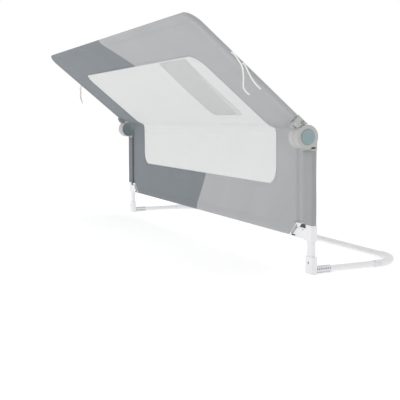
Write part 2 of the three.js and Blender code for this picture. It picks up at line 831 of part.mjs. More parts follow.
function cornerBracket() {
  const top = sleeveBottom - clearance;
  const body = slab(outline(bracketOutline(top)), bracketFront, bracketBack);
  const spigot = column(
    tubeFilling(sleeveWidth / 2, postCentre, postTubeWidth, postTubeDepth, postTubeWall),
    top - bite, top + spigotLength);
  const cuts = [
    slab(catchOutline(catchFloor, top, 0), bracketFront - overrun, bracketFront + catchDepth),
    column(outline(flatOval(legInset - half, legCentre, legWidth + 2 * clearance, legDepth + 2 * clearance)),
      bracketFoot - overrun, legRoof),
    bar(outline(flatOval(frameCentre, lowerTubeFoot + lowerTubeWidth / 2,
      frameTubeDepth + 2 * clearance, lowerTubeWidth + 2 * clearance)),
    lowerTubeEnd - clearance, diagonalFootInset + overrun),
    peg(bracketScrewInset, bracketScrewHeight, bracketScrewRadius + clearance,
      bracketFront - overrun, bracketFront + bracketScrewSink + bracketScrewLength + clearance),
    slab(outline(flatOval(notchInset - half, notchHeight, notchLength, notchWidth)),
      bracketFront - overrun, bracketFront + notchDepth),
  ];
  return minus(joined(body, ...bracketRibs(top)), ...cuts).add(spigot);
}

function legTube() {
  return column(outline(
    flatOval(legInset - half, legCentre, legWidth, legDepth),
    flatOval(legInset - half, legCentre, legWidth - 2 * legWall, legDepth - 2 * legWall),
  ), legSeat + clearance, legRoof - clearance)
    .subtract(peg(footScrewInset, footScrewHeight, footScrewShankRadius + clearance,
      legCentre - legDepth, legCentre));
}

function foot() {
  const body = column(outline(roundedBox(
    footOuter - half, footFront, footOuter + footWidth - half, footBack, footCornerRadius)),
  0, footHeight);
  const cuts = [
    column(outline(flatOval(legInset - half, legCentre, legWidth + 2 * clearance, legDepth + 2 * clearance)),
      legSeat, footHeight + overrun),
    peg(baseArmInset, baseHeight, baseTubeRadius + clearance, armSeat, footBack + overrun, baseSides),
    peg(footScrewInset, footScrewHeight, footScrewHeadRadius + clearance,
      footFront - overrun, footFront + screwSink + footScrewHeadLength),
    peg(footScrewInset, footScrewHeight, footScrewShankRadius + clearance, footFront, legCentre),
  ];
  return minus(body, ...cuts);
}

function footScrew() {
  const start = footFront + screwSink - clearance;
  const head = peg(footScrewInset, footScrewHeight, footScrewHeadRadius, start, start + footScrewHeadLength);
  const shank = peg(footScrewInset, footScrewHeight, footScrewShankRadius,
    start + footScrewHeadLength - bite, start + footScrewLength);
  return head.add(shank);
}

// The slot's outline has one side along the slanted edge of the cover.
function catchOutline(low, high, gap) {
  const inner = (height) => diagonalInset(height) - catchSetback - gap - half;
  const outer = catchInset + gap - half;
  return outline([point(outer, low), point(inner(low), low), point(inner(high), high), point(outer, high)]);
}

function bracketCatch() {
  const low = catchFloor + clearance;
  return slab(catchOutline(low, low + catchHeight, clearance),
    bracketFront + catchSink, bracketFront + catchDepth - clearance);
}

function addStand(group) {
  addPair(group, 'post_tube', postTube(), materials.aluminium);
  addPair(group, 'corner_bracket', cornerBracket(), materials.white);
  addPair(group, 'post_catch', bracketCatch(), materials.dark);
  const screwStart = bracketFront + bracketScrewSink;
  addPair(group, 'bracket_screw', peg(bracketScrewInset, bracketScrewHeight, bracketScrewRadius,
    screwStart, screwStart + bracketScrewLength), materials.steel);
  addPair(group, 'leg', legTube(), materials.whiteSteel);
  addPair(group, 'foot', foot(), materials.white);
  addPair(group, 'foot_screw', footScrew(), materials.steel);
}

// Lower panel

function lowerTube() {
  const centre = lowerTubeFoot + lowerTubeWidth / 2;
  return bar(outline(
    flatOval(frameCentre, centre, frameTubeDepth, lowerTubeWidth),
    flatOval(frameCentre, centre,
      frameTubeDepth - 2 * frameTubeWall, lowerTubeWidth - 2 * frameTubeWall),
  ), lowerTubeEnd, railLength - lowerTubeEnd);
}

function lowerWeb() {
  const side = half - panelInset;
  const foot = half - diagonalFootInset;
  const top = axisHeight - seamGap / 2;
  const edge = diagonalHeight(panelInset);
  return slab(outline([
    point(-foot, coverBottom), point(foot, coverBottom), point(side, edge),
    point(side, top), point(-side, top), point(-side, edge),
  ]), panelFront, webBack);
}

function lowerChannel() {
  const high = lowerTubeTop + clearance + coverWall;
  const section = outline(roundedBox(
    panelFront, coverBottom, panelFront + channelDepth, high, coverEdgeRadius));
  const channel = bar(section, diagonalTopInset, railLength - diagonalTopInset);
  const foot = half - diagonalFootInset;
  const top = half - diagonalTopInset;
  const inside = slab(outline([
    point(-foot, coverBottom - overrun), point(foot, coverBottom - overrun),
    point(foot, coverBottom), point(top, diagonalTopHeight),
    point(-top, diagonalTopHeight), point(-foot, coverBottom),
  ]), 0, armBack + overrun);
  return channel.intersect(inside);
}

function sleeve() {
  const low = sleeveBottom;
  const outer = roundedBox(-half, sleeveFront, sleeveWidth - half, sleeveBack, sleeveCornerRadius);
  const bore = flatOval(sleeveWidth / 2 - half, postCentre,
    postTubeWidth + 2 * clearance, postTubeDepth + 2 * clearance);
  const high = axisHeight - seamGap / 2;
  const grooveBack = grooveFront + coverWall;
  const groove = box(
    sleeveWidth - coverWall, panelInset - bite, grooveFront, grooveBack, low, sleeveTop);
  const grooveTop = box(
    sleeveWidth + reliefGap, panelInset - bite, grooveFront, grooveBack, sleeveTop - bite, high);
  const wall = box(panelInset - coverWall, panelInset, panelFront, grooveBack, low, high);
  return joined(column(outline(outer, bore), low, sleeveTop), groove, grooveTop, wall);
}

function lowerCover() {
  const left = sleeve();
  const right = solidOf(mirrored(geometryOf(left)));
  const centre = lowerTubeFoot + lowerTubeWidth / 2;
  const bore = bar(outline(flatOval(frameCentre, centre,
    frameTubeDepth + 2 * clearance, lowerTubeWidth + 2 * clearance)),
  diagonalTopInset - overrun, railLength - diagonalTopInset + overrun);
  const [low, high] = [axisHeight - windowDrop, axisHeight + overrun];
  const pane = slab(
    outline(windowOutline(low, high, windowWidth / 2, false, windowCornerRadius)),
    panelFront - overrun, webBack + overrun);
  return minus(joined(lowerWeb(), lowerChannel(), left, right), bore, pane);
}

function addLowerCover(group) {
  const cover = lowerCover();
  addSolid(group, 'lower_cover_dark', cover.intersect(tintRegion(axisHeight, true)), materials.darkCloth);
  addSolid(group, 'lower_cover_light', cover.intersect(tintRegion(axisHeight, false)), materials.lightCloth);
}

// Base

// A profile of (radius, y) pairs turned about the left base arm.
function turnedOnArm(profile) {
  const points = profile.map(([radius, y]) => point(radius, y));
  return solidOf(new THREE.LatheGeometry(points, baseSides).translate(baseArmInset - half, 0, baseHeight));
}

function baseArm() {
  const start = armSeat + clearance;
  const neck = cornerStart - cornerStraight / 2;
  const end = neck + swageLength;
  const bore = baseTubeRadius - baseTubeWall;
  const swageBore = swageRadius - baseTubeWall;
  return turnedOnArm([
    [bore, start], [baseTubeRadius, start], [baseTubeRadius, neck], [swageRadius, neck + overrun],
    [swageRadius, end], [swageBore, end], [swageBore, neck + overrun], [bore, neck], [bore, start],
  ]);
}

function baseGrip() {
  const bore = baseTubeRadius + clearance;
  const pitch = gripLength / (gripRibs + 1);
  const profile = [[bore, gripFront], [gripRadius, gripFront]];
  for (let i = 1; i <= gripRibs; i += 1) {
    const y = gripFront + i * pitch;
    profile.push([gripRadius - gripGroove, y], [gripRadius, y + pitch / 2]);
  }
  profile.push([gripRadius, gripFront + gripLength], [bore, gripFront + gripLength], [bore, gripFront]);
  return turnedOnArm(profile);
}

function baseCorner() {
  const x = baseArmInset - half;
  const bend = arc(x + cornerRadius, cornerStart, cornerRadius, 180, 90, wideBendSteps);
  const route = [
    point(x, cornerStart - cornerStraight), ...bend, point(x + cornerRadius + cornerStraight, baseDepth),
  ].map((p) => new THREE.Vector3(p.x, p.y, baseHeight));
  const ring = outline(
    circle(0, 0, cornerOuterRadius, baseSides),
    circle(0, 0, baseTubeRadius + clearance, baseSides));
  return swept(ring, route).subtract(cornerButtonSolid(clearance, overrun));
}

function cornerButtonSolid(grow, outward) {
  const length = cornerButtonLength + 2 * grow;
  const height = cornerButtonHeight + 2 * grow;
  const outer = baseArmInset - cornerOuterRadius - cornerButtonProud - outward;
  const inner = baseArmInset - swageRadius - clearance;
  const place = cornerStart + cornerButtonBeyond;
  return bar(outline(flatOval(place, baseHeight, length, height)), outer, inner);
}

function rearBar() {
  const inset = baseArmInset + cornerRadius + clearance;
  return bar(outline(
    circle(baseDepth, baseHeight, baseTubeRadius, baseSides),
    circle(baseDepth, baseHeight, baseTubeRadius - baseTubeWall, baseSides),
  ), inset, railLength - inset);
}

function addBase(group) {
  addPair(group, 'base_arm', baseArm(), materials.whiteSteel);
  addPair(group, 'base_grip', baseGrip(), materials.rubber);
  addPair(group, 'base_corner', baseCorner(), materials.white);
  addPair(group, 'corner_button', cornerButtonSolid(0, 0), materials.hinge);
  addSolid(group, 'base_rear_bar', rearBar(), materials.whiteSteel);
}

// Cords

function addCord(group, name, side, exit, route) {
  const tilt = THREE.MathUtils.degToRad(tiltDegrees);
  const start = new THREE.Vector3(
    side * (half - coverInset + clearance),
    frameCentre * Math.cos(tilt) - exit * Math.sin(tilt),
    axisHeight + frameCentre * Math.sin(tilt) + exit * Math.cos(tilt));
  const points = route.map(([out, y, z]) => new THREE.Vector3(side * out, y, z).add(start));
  addSolid(group, name, swept(outline(circle(0, 0, cordRadius, cordSides)), points), materials.cord);
}

// Whole object

const stand = new THREE.Group();
addStand(stand);
addBase(stand);
addLowerCover(stand);
addSolid(stand, 'lower_tube', lowerTube(), materials.aluminium);
addWindow(stand, 'window_mesh_lower', axisHeight - windowDrop + clearance, axisHeight - seamGap / 2, false);

const hingeLine = new THREE.Group();
hingeLine.position.z = axisHeight;
addRootHinge(hingeLine);

const upperFrame = new THREE.Group();
upperFrame.position.z = axisHeight;
upperFrame.rotation.x = THREE.MathUtils.degToRad(tiltDegrees);
addUpperHinge(upperFrame);
addPair(upperFrame, 'upper_tube', upperSideTube(), materials.aluminium);
addSolid(upperFrame, 'upper_tube_middle', upperMiddleTube(), materials.aluminium);
addUpperCover(upperFrame);
addWindow(upperFrame, 'window_mesh_upper', seamGap / 2, windowTop - clearance, true);
addPocket(upperFrame);

const rail = new THREE.Group();
rail.add(stand, hingeLine, upperFrame);

// The origin lies on the floor under the middle of the object's box, cords left out.
const bounds = new THREE.Box3().setFromObject(rail, true);
addCord(rail, 'drawcord_right_upper', 1, rightUpperExit, rightUpperRoute);
addCord(rail, 'drawcord_right_lower', 1, rightLowerExit, rightLowerRoute);
addCord(rail, 'drawcord_left_upper', -1, leftUpperExit, leftUpperRoute);
addCord(rail, 'drawcord_left_lower', -1, leftLowerExit, leftLowerRoute);
rail.position.y = -(bounds.min.y + bounds.max.y) / 2;

const guardRail = new THREE.Group();
guardRail.add(rail);

export default guardRail;
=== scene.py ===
import math

import bmesh
import bpy
from bpy.props import FloatProperty, FloatVectorProperty, PointerProperty
from mathutils import Matrix, Vector, noise
from mathutils.geometry import interpolate_bezier
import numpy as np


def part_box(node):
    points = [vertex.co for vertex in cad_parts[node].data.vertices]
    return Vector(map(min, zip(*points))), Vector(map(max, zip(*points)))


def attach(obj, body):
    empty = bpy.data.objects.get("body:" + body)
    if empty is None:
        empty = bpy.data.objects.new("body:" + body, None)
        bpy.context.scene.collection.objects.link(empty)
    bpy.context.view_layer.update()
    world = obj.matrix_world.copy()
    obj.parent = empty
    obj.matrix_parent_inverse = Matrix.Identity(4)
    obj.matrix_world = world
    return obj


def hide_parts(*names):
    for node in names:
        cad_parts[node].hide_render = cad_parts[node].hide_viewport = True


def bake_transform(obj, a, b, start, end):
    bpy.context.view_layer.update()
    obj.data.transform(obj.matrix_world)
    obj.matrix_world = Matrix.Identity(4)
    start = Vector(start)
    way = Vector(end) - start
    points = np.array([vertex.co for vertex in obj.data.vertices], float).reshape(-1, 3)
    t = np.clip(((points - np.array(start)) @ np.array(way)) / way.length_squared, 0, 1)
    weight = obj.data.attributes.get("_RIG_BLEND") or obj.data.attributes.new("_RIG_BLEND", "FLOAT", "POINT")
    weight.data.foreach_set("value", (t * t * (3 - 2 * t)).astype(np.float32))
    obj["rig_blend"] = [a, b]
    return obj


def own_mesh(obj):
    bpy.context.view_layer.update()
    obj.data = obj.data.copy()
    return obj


bl_info = {
    "name": "Bed Guard Rail",
    "version": (1, 0, 0),
    "blender": (4, 5, 0),
    "location": "View3D > Sidebar > Guard Rail",
    "description": "Dresses a folding bed guard rail with cloth, net, moulded plastic and painted tube",
    "category": "Object",
}

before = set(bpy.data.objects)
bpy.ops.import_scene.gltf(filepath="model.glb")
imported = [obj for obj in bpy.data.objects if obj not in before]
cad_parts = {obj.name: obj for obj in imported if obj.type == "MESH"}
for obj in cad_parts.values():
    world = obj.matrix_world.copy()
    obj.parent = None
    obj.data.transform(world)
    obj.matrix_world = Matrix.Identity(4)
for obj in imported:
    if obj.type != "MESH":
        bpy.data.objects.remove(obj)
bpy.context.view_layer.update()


def axis_point():
    """The middle of the hinge axis, between the two axles."""
    low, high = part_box("hinge_axle_left")
    return Vector((0.0, (low.y + high.y) / 2, (low.z + high.z) / 2))


AXIS = axis_point()

# How far the upper panel leans out at rest

TILT = math.radians(50)


# Colours and small helpers


def linear(red, green, blue):
    """A colour of 0 to 255 as Blender's linear values."""
    def one(value):
        share = value / 255
        return share / 12.92 if share <= 0.04045 else ((share + 0.055) / 1.055) ** 2.4
    return (one(red), one(green), one(blue))


def colour(name, description, red, green, blue):
    return FloatVectorProperty(
        name=name, description=description, subtype="COLOR", size=3, min=0, max=1,
        default=linear(red, green, blue))


def length(name, description, default):
    return FloatProperty(
        name=name, description=description, default=default, min=0, unit="LENGTH", subtype="DISTANCE")


def share_of(name, description, default):
    return FloatProperty(name=name, description=description, default=default, min=0)


def smooth(low, high, value):
    """0 below low, 1 above high and an even S between them."""
    t = min(1.0, max(0.0, (value - low) / (high - low)))
    return t * t * (3 - 2 * t)


def mix(a, b, share):
    return a + (b - a) * share


# Materials


def node(tree, kind, inputs=None, **settings):
    """Adds a shader node. A value in inputs is a number, a colour or another node's output."""
    made = tree.nodes.new(kind)
    for key, value in settings.items():
        setattr(made, key, value)
    for key, value in (inputs or {}).items():
        if isinstance(value, bpy.types.NodeSocket):
            tree.links.new(value, made.inputs[key])
        else:
            made.inputs[key].default_value = value
    return made


def math_node(tree, operation, *values):
    made = node(tree, "ShaderNodeMath", dict(enumerate(values)), operation=operation)
    return made.outputs[0]


def new_material(name, roughness, metallic=0.0):
    material = bpy.data.materials.new(name)
    material.use_nodes = True
    tree = material.node_tree
    shader = next(n for n in tree.nodes if n.type == "BSDF_PRINCIPLED")
    shader.inputs["Roughness"].default_value = roughness
    shader.inputs["Metallic"].default_value = metallic
    return material, tree, shader


def speckle(tree, vector, scale, detail):
    """Cloudy noise with cells of about 1 / scale."""
    return node(
        tree, "ShaderNodeTexNoise", {"Vector": vector, "Scale": scale, "Detail": detail}).outputs["Fac"]


def spread(tree, value, low, high, start=0.0, end=1.0):
    """The value, with start to end spread over low to high."""
    return node(tree, "ShaderNodeMapRange", {
        "Value": value, "From Min": start, "From Max": end, "To Min": low, "To Max": high}).outputs[0]


def shaded(tree, tint, share):
    """The colour times a share."""
    return node(tree, "ShaderNodeVectorMath", {0: tint, "Scale": share}, operation="SCALE").outputs[0]


def bumped(tree, height, strength, distance, under=None):
    """A relief of the given height, on top of the relief under it if there is one."""
    relief = {"Height": height, "Strength": strength, "Distance": distance}
    if under is not None:
        relief["Normal"] = under
    return node(tree, "ShaderNodeBump", relief).outputs[0]


def linked(tree, shader, outputs):
    for name, output in outputs.items():
        tree.links.new(output, shader.inputs[name])


def varied(tree, tint, vector, scale, amount):
    """The colour, lighter and darker in soft patches."""
    patches = speckle(tree, vector, scale, detail=3.0)
    return shaded(tree, (*tint,), spread(tree, patches, 1 - amount, 1 + amount, start=0.3, end=0.7))


def moulded(name, tint, roughness, grain=0.00003):
    """Moulded plastic: fine spark-eroded grain, slightly uneven colour and gloss."""
    material, tree, shader = new_material(name, roughness)
    place = node(tree, "ShaderNodeTexCoord").outputs["Object"]
    fine = speckle(tree, place, scale=1600.0, detail=4.0)
    rub = speckle(tree, place, scale=60.0, detail=5.0)
    linked(tree, shader, {
        "Base Color": varied(tree, tint, place, scale=18.0, amount=0.03),
        "Normal": bumped(tree, fine, strength=0.5, distance=grain),
        "Roughness": spread(tree, rub, roughness - 0.08, roughness + 0.08)})
    return material


def painted(name, tint, roughness):
    """Powder-coated tube: a smooth coat with a faint orange-peel surface."""
    material, tree, shader = new_material(name, roughness)
    place = node(tree, "ShaderNodeTexCoord").outputs["Object"]
    peel = speckle(tree, place, scale=420.0, detail=2.0)
    linked(tree, shader, {
        "Base Color": varied(tree, tint, place, scale=9.0, amount=0.02),
        "Normal": bumped(tree, peel, strength=0.35, distance=0.00006),
        "Roughness": spread(tree, peel, roughness - 0.05, roughness + 0.07)})
    shader.inputs["Coat Weight"].default_value = 0.15
    return material


def bare_metal(name, tint, roughness):
    """Drawn or turned metal with fine lines and a few duller patches."""
    material, tree, shader = new_material(name, roughness, metallic=1.0)
    place = node(tree, "ShaderNodeTexCoord").outputs["Object"]
    drawn = node(tree, "ShaderNodeMapping", {"Vector": place, "Scale": (40.0, 900.0, 900.0)}).outputs[0]
    lines = speckle(tree, drawn, scale=1.0, detail=4.0)
    linked(tree, shader, {
        "Base Color": varied(tree, tint, place, scale=25.0, amount=0.05),
        "Normal": bumped(tree, lines, strength=0.3, distance=0.00003),
        "Roughness": spread(tree, lines, roughness - 0.1, roughness + 0.15)})
    return material


def ridges(tree, across):
    """The round backs of threads that lie one unit apart."""
    return math_node(
        tree, "ABSOLUTE", math_node(tree, "SINE", math_node(tree, "MULTIPLY", across, math.pi)))


def woven(name, tint, thread_tint):
    """Plain-woven polyester cloth with sewn seams beside the window binding and the tube channels."""
    material, tree, shader = new_material(name, roughness=0.88)
    flat = node(tree, "ShaderNodeUVMap", uv_map="cloth").outputs[0]
    fine = node(
        tree, "ShaderNodeMapping", {"Vector": flat, "Scale": (1 / THREAD, 1 / THREAD, 1)}).outputs[0]
    parts = node(tree, "ShaderNodeSeparateXYZ", {0: fine}).outputs
    checks = node(tree, "ShaderNodeTexChecker", {
        "Vector": fine, "Scale": 1.0, "Color1": (1, 1, 1, 1), "Color2": (0, 0, 0, 1)}).outputs["Fac"]
    weave = node(tree, "ShaderNodeMix", {
        0: checks, 2: ridges(tree, parts[0]), 3: ridges(tree, parts[1])}).outputs[0]
    yarn = speckle(tree, flat, scale=900.0, detail=3.0)
    fleck = spread(tree, yarn, 0.93, 1.06, start=0.3, end=0.7)
    # The yarn's flecks of tone, with painted shade in the gaps between the threads and painted highlight on
    # their crowns
    shade = math_node(tree, "MULTIPLY", fleck, spread(tree, weave, 0.9, 1.04))
    body = shaded(tree, varied(tree, tint, flat, scale=7.0, amount=0.035), shade)
    stitch, valley = seams(tree)
    sewn = node(tree, "ShaderNodeMix", {0: stitch, 6: body, 7: (*thread_tint, 1)}, data_type="RGBA")
    relief = bumped(tree, weave, strength=0.5, distance=0.00018)
    pressed = bumped(tree, valley, strength=0.5, distance=0.0002, under=relief)
    linked(tree, shader, {
        "Base Color": sewn.outputs[2],
        "Normal": bumped(tree, stitch, strength=0.8, distance=0.0004, under=pressed),
        "Roughness": spread(tree, yarn, 0.8, 0.96)})
    shader.inputs["Sheen Weight"].default_value = 0.12
    shader.inputs["Sheen Roughness"].default_value = 0.5
    return material


def line_at(tree, value, place, half_width):
    """1 on a line where value equals place, 0 past half_width beside it."""
    off = math_node(tree, "ABSOLUTE", math_node(tree, "SUBTRACT", value, place))
    return spread(tree, off, 1.0, 0.0, start=half_width * 0.6, end=half_width)


def seams(tree):
    """The dashes of the sewing thread, and the pressed line that they lie in."""
    window, channel, along = (
        node(tree, "ShaderNodeAttribute", attribute_name=name).outputs["Fac"] for name in SEAM_VALUES)
    turn = math_node(tree, "FRACT", math_node(tree, "DIVIDE", along, STITCH))
    dash = math_node(tree, "LESS_THAN", turn, STITCH_SHARE)
    threads, valleys = [], []
    for value, place in ((window, WINDOW_SEAM), (channel, CHANNEL_SEAM)):
        threads.append(math_node(tree, "MULTIPLY", line_at(tree, value, place, SEAM_THREAD), dash))
        valleys.append(line_at(tree, value, place, SEAM_VALLEY))
    stitch = math_node(tree, "MAXIMUM", *threads)
    return stitch, math_node(tree, "SUBTRACT", 1.0, math_node(tree, "MAXIMUM", *valleys))


def netting(name, tint, pitch, least, most, hems=()):
    """Warp-knitted net: round holes in staggered rows, with darker sewn lines beside its edge."""
    material, tree, shader = new_material(name, roughness=0.8)
    flat = node(tree, "ShaderNodeUVMap", uv_map="cloth").outputs[0]
    waves = []
    for degrees in (90, 210, 330):
        angle = math.radians(degrees)
        ahead = node(tree, "ShaderNodeVectorMath", {
            0: flat, 1: (math.cos(angle), math.sin(angle), 0)}, operation="DOT_PRODUCT").outputs["Value"]
        turns = math_node(tree, "MULTIPLY", ahead, 4 * math.pi / (pitch * math.sqrt(3)))
        waves.append(math_node(tree, "COSINE", turns))
    total = math_node(tree, "ADD", math_node(tree, "ADD", waves[0], waves[1]), waves[2])
    solid = spread(tree, total, most, least, start=0.1, end=1.1)
    yarn = speckle(tree, flat, scale=1300.0, detail=2.0)
    thread = varied(tree, tint, flat, scale=9.0, amount=0.015)
    from_edge = node(tree, "ShaderNodeAttribute", attribute_name="from_edge").outputs["Fac"]
    for place in hems:
        sewn = line_at(tree, from_edge, place, HEM_LINE)
        thread = shaded(tree, thread, spread(tree, sewn, 1.0, HEM_TONE))
        solid = math_node(tree, "MAXIMUM", solid, sewn)
    height = math_node(tree, "SUBTRACT", math_node(tree, "MULTIPLY", yarn, 0.4), total)
    linked(tree, shader, {
        "Base Color": thread,
        "Alpha": solid,
        "Normal": bumped(tree, height, strength=0.5, distance=0.00012),
        "Roughness": spread(tree, yarn, 0.7, 0.9)})
    return material


# Meshes

# The turn in degrees from which an edge is sharp, on hard pieces, on cloth and coils, and on nets

SHARP = 32.0
SHARP_SOFT = 60.0
SHARP_NET = 180.0


def finished(name, bm, material, body, nodes=(), sharp=SHARP):
    """Turns a bmesh into a piece that rides on a body and stands for its CAD nodes."""
    mesh = bpy.data.meshes.new(name)
    for face in bm.faces:
        face.smooth = True
    for edge in bm.edges:
        edge.smooth = len(edge.link_faces) == 2 and edge.calc_face_angle(0.0) < math.radians(sharp)
    bm.to_mesh(mesh)
    bm.free()
    piece = bpy.data.objects.new(name, mesh)
    bpy.context.scene.collection.objects.link(piece)
    mesh.materials.append(material)
    if body:
        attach(piece, body)
    if nodes:
        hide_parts(*nodes)
    return piece


def turn_to_front(bm):
    """Makes every face of a net look forward."""
    for face in bm.faces:
        if face.normal.y > 0:
            face.normal_flip()


def copy_of(name):
    """A CAD node's solid with its loose triangles joined and its flat faces made whole."""
    bm = bmesh.new()
    bm.from_mesh(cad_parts[name].data)
    bmesh.ops.remove_doubles(bm, verts=bm.verts, dist=1e-6)
    bmesh.ops.dissolve_limit(
        bm, angle_limit=math.radians(1), use_dissolve_boundaries=False,
        verts=bm.verts, edges=bm.edges, delimit={"NORMAL"})
    return bm


def round_edges(piece, width):
    """Breaks the sharp edges of a moulded or cut piece."""
    bevel = piece.modifiers.new("Rounded edges", "BEVEL")
    bevel.width = width
    bevel.segments = 2
    bevel.limit_method = "ANGLE"
    bevel.angle_limit = math.radians(SHARP)
    bevel.harden_normals = True
    bevel.miter_outer = "MITER_ARC"


def dress(name, material):
    """Gives a CAD node that stays its finish."""
    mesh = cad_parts[name].data
    mesh.materials.clear()
    mesh.materials.append(material)


# Settings


class ClothSettings(bpy.types.PropertyGroup):
    dark: colour("Dark cloth", "Colour of the cloth at the left end", 119, 125, 131)
    light: colour("Light cloth", "Colour of the cloth at the right end", 172, 173, 175)
    net: colour("Net", "Colour of the threads of the window net", 198, 200, 199)
    pocket: colour("Pocket", "Colour of the pocket behind the net", 220, 221, 221)
    cord: colour("Drawcord", "Colour of the drawcords", 240, 240, 238)
    sleeve: share_of("Sleeve shade", "Brightness of the sleeves against the cloth", 0.85)
    wrinkle: length("Wrinkles", "Height of the soft wrinkles in the cloth", 0.0005)


class PlasticSettings(bpy.types.PropertyGroup):
    white: colour("White plastic", "Colour of the brackets, feet and base corners", 235, 235, 237)
    hinge: colour("Hinge plastic", "Colour of the hinge housings", 182, 182, 181)
    teal: colour("Button", "Colour of the push buttons", 140, 160, 163)
    grip: colour("Grip", "Colour of the slotted grips", 226, 226, 228)
    # Painted shade: the slot colour stands for the shade on the floors of the grips' slots, in the brackets'
    # recesses and on the sides of the brackets' ribs
    slot: colour("Painted slot shade", "Colour in the slots of the grips and the recesses", 84, 86, 90)
    # The inner cap colour is the caps' own plastic, and is also painted shade on the walls of the hollow
    # round each cap
    cap: colour("Inner cap", "Colour of the caps on the inner ends of the hinges", 130, 143, 147)
    dark: colour("Dark plastic", "Colour of the catches and the lock gear", 60, 63, 68)
    edge: length("Moulded edge", "Radius on the edges of moulded pieces", 0.0006)


class MetalSettings(bpy.types.PropertyGroup):
    paint: colour("Painted tube", "Colour of the powder-coated tubes", 234, 234, 236)
    aluminium: colour("Frame tube", "Colour of the aluminium frame tubes", 200, 202, 204)
    steel: colour("Steel", "Colour of the screws, springs and axles", 160, 163, 166)


class StageSettings(bpy.types.PropertyGroup):
    floor: colour("Floor", "Colour of the floor", 236, 236, 236)
    bounce: share_of("Floor bounce", "Light that the floor adds from below", 0.36)
    lift: share_of("Floor lift", "How much the floor is lightened where it is seen", 0.36)
    sky: share_of("Room light", "Strength of the even light from all round", 0.78)
    key: FloatProperty(
        name="Key light", description="Power of the large lamp in front", default=16.5, min=0, unit="POWER")


# Cord routes: the end of the rail, 1 right and -1 left, the height up the panel where the cord leaves
# the cover, and offsets from there in millimetres, outward, towards the mattress and up

ROUTES = {
    "right_upper": (1, 0.241, [
        (0, 0, 0), (3, 0, 0), (7, 3, -4), (8, 6.9, -9), (8, 10.6, -14.2), (8, 14.4, -19.3),
        (8, 18.1, -24.4), (8, 20.6, -30.3), (8, 21.7, -36.6), (8, 22.1, -42.9), (8, 22.3, -49.3),
        (8, 22.4, -55.6), (8, 22, -62), (8, 22.2, -68.4), (8, 25.3, -73.9), (8, 29.8, -78.4),
        (8, 35, -82.1)]),
    "right_lower": (1, 0.209, [
        (0, 0, 0), (3, 0, 0), (7, 1.5, -4), (8, 3.4, -8), (8, 5.6, -12), (8, 7.8, -16),
        (8, 10.1, -19.9), (8, 12.4, -23.8), (8, 14.7, -27.7), (8, 17.3, -31.5), (8, 20, -35.1),
        (8, 23, -38.5), (8, 26.2, -41.8), (8, 29.5, -44.9), (8, 32.9, -47.8), (8, 36.4, -50.7)]),
    "left_upper": (-1, 0.217, [
        (0, 0, 0), (3, 0, 0), (7, -1.5, -4), (7.9, -3.1, -8.5), (8, -4.2, -13.1), (8, -4.5, -17.9),
        (8, -3.9, -22.7), (8, -3.1, -27.4), (8, -3.2, -32.2), (8, -3.8, -37), (8, -3.9, -41.8),
        (8, -3.1, -46.5), (8, -2, -51.2), (8, -0.4, -55.7), (8, 1.6, -60.1), (8, 4.1, -64.2)]),
    "left_lower": (-1, 0.2125, [
        (0, 0, 0), (3, 0, 0), (8, -1, -4), (10.1, -2.3, -7.6), (11.5, -3.3, -11.6),
        (12.5, -3.6, -15.9), (13.3, -3.4, -20.2), (14, -3, -24.5), (14.5, -2.8, -28.8),
        (14.9, -3, -33.1), (15, -3.1, -37.5), (15, -2.8, -41.8), (15, -2.2, -46.1),
        (15, -1.2, -50.4), (15, 0.1, -54.6), (15, 2, -58.5)]),
}
CORD_EXIT_X = 0.5953
CORD_EXIT_DEPTH = 0.0174
CORD_DIAMETER = 0.003


def cord_points(side, rise, offsets):
    """The points of a cord's middle line, in metres."""
    start = Vector((side * CORD_EXIT_X, CORD_EXIT_DEPTH, rise))
    start = Matrix.Rotation(TILT, 4, "X") @ start + AXIS
    return [start + Vector((side * out, back, up)) / 1000 for out, back, up in offsets]


# The cloth's own measure: x along the rail, rise up the panel from the hinge axis, negative in the
# lower panel, and depth behind the hinge axis. The fold runs between FOLD_LOW and FOLD_HIGH, and the
# cloth passes from one panel's motion to the other's between BEND_LOW and BEND_HIGH.

FRONT = 0.0129
BACK = 0.0152
MIDDLE = (FRONT + BACK) / 2
FOLD_LOW = -0.006
FOLD_HIGH = 0.034
FOLD_REACH = 0.034
FOLD_FINE = 129
FOLD_POINTS = 41
BEND_LOW = -0.018
BEND_HIGH = 0.04

# The weave and the seams: the width of a thread of the cloth, the length of a stitch with its gap
# and the thread's share of it, where the seams run, from the window and from the channel, half the
# width of the sewing thread, of the line pressed by it and of a line sewn in the pocket, and the
# brightness of the sewing thread against the cloth and of the sewn line against the pocket

THREAD = 0.0006
STITCH = 0.0034
STITCH_SHARE = 0.78
WINDOW_SEAM = 0.0072
CHANNEL_SEAM = 0.0016
SEAM_THREAD = 0.00035
SEAM_VALLEY = 0.0011
SEAM_VALUES = ("from_window", "from_channel", "along")
NO_SEAM = 0.05
HEM_LINE = 0.0009
THREAD_TONE = 1.12
HEM_TONE = 0.72


def evenly(points, count):
    """Points the same distance apart along a line through the given points."""
    reach = [0.0]
    for a, b in zip(points, points[1:]):
        reach.append(reach[-1] + (b - a).length)
    spaced, index = [], 0
    for step in range(count):
        want = reach[-1] * step / (count - 1)
        while index < len(points) - 2 and reach[index + 1] < want:
            index += 1
        share = (want - reach[index]) / max(reach[index + 1] - reach[index], 1e-9)
        spaced.append(points[index].lerp(points[index + 1], share))
    return spaced


def fold_line():
    """The cloth's front over the fold, seen along the hinge axis."""
    turn = Matrix.Rotation(TILT, 3, "X")
    start = Vector((0, FRONT, FOLD_LOW))
    end = turn @ Vector((0, FRONT, FOLD_HIGH))
    points = interpolate_bezier(
        start, start + Vector((0, 0, FOLD_REACH)), end - turn @ Vector((0, 0, FOLD_REACH)), end,
        FOLD_FINE)
    return evenly(points, FOLD_POINTS)


FOLD = fold_line()


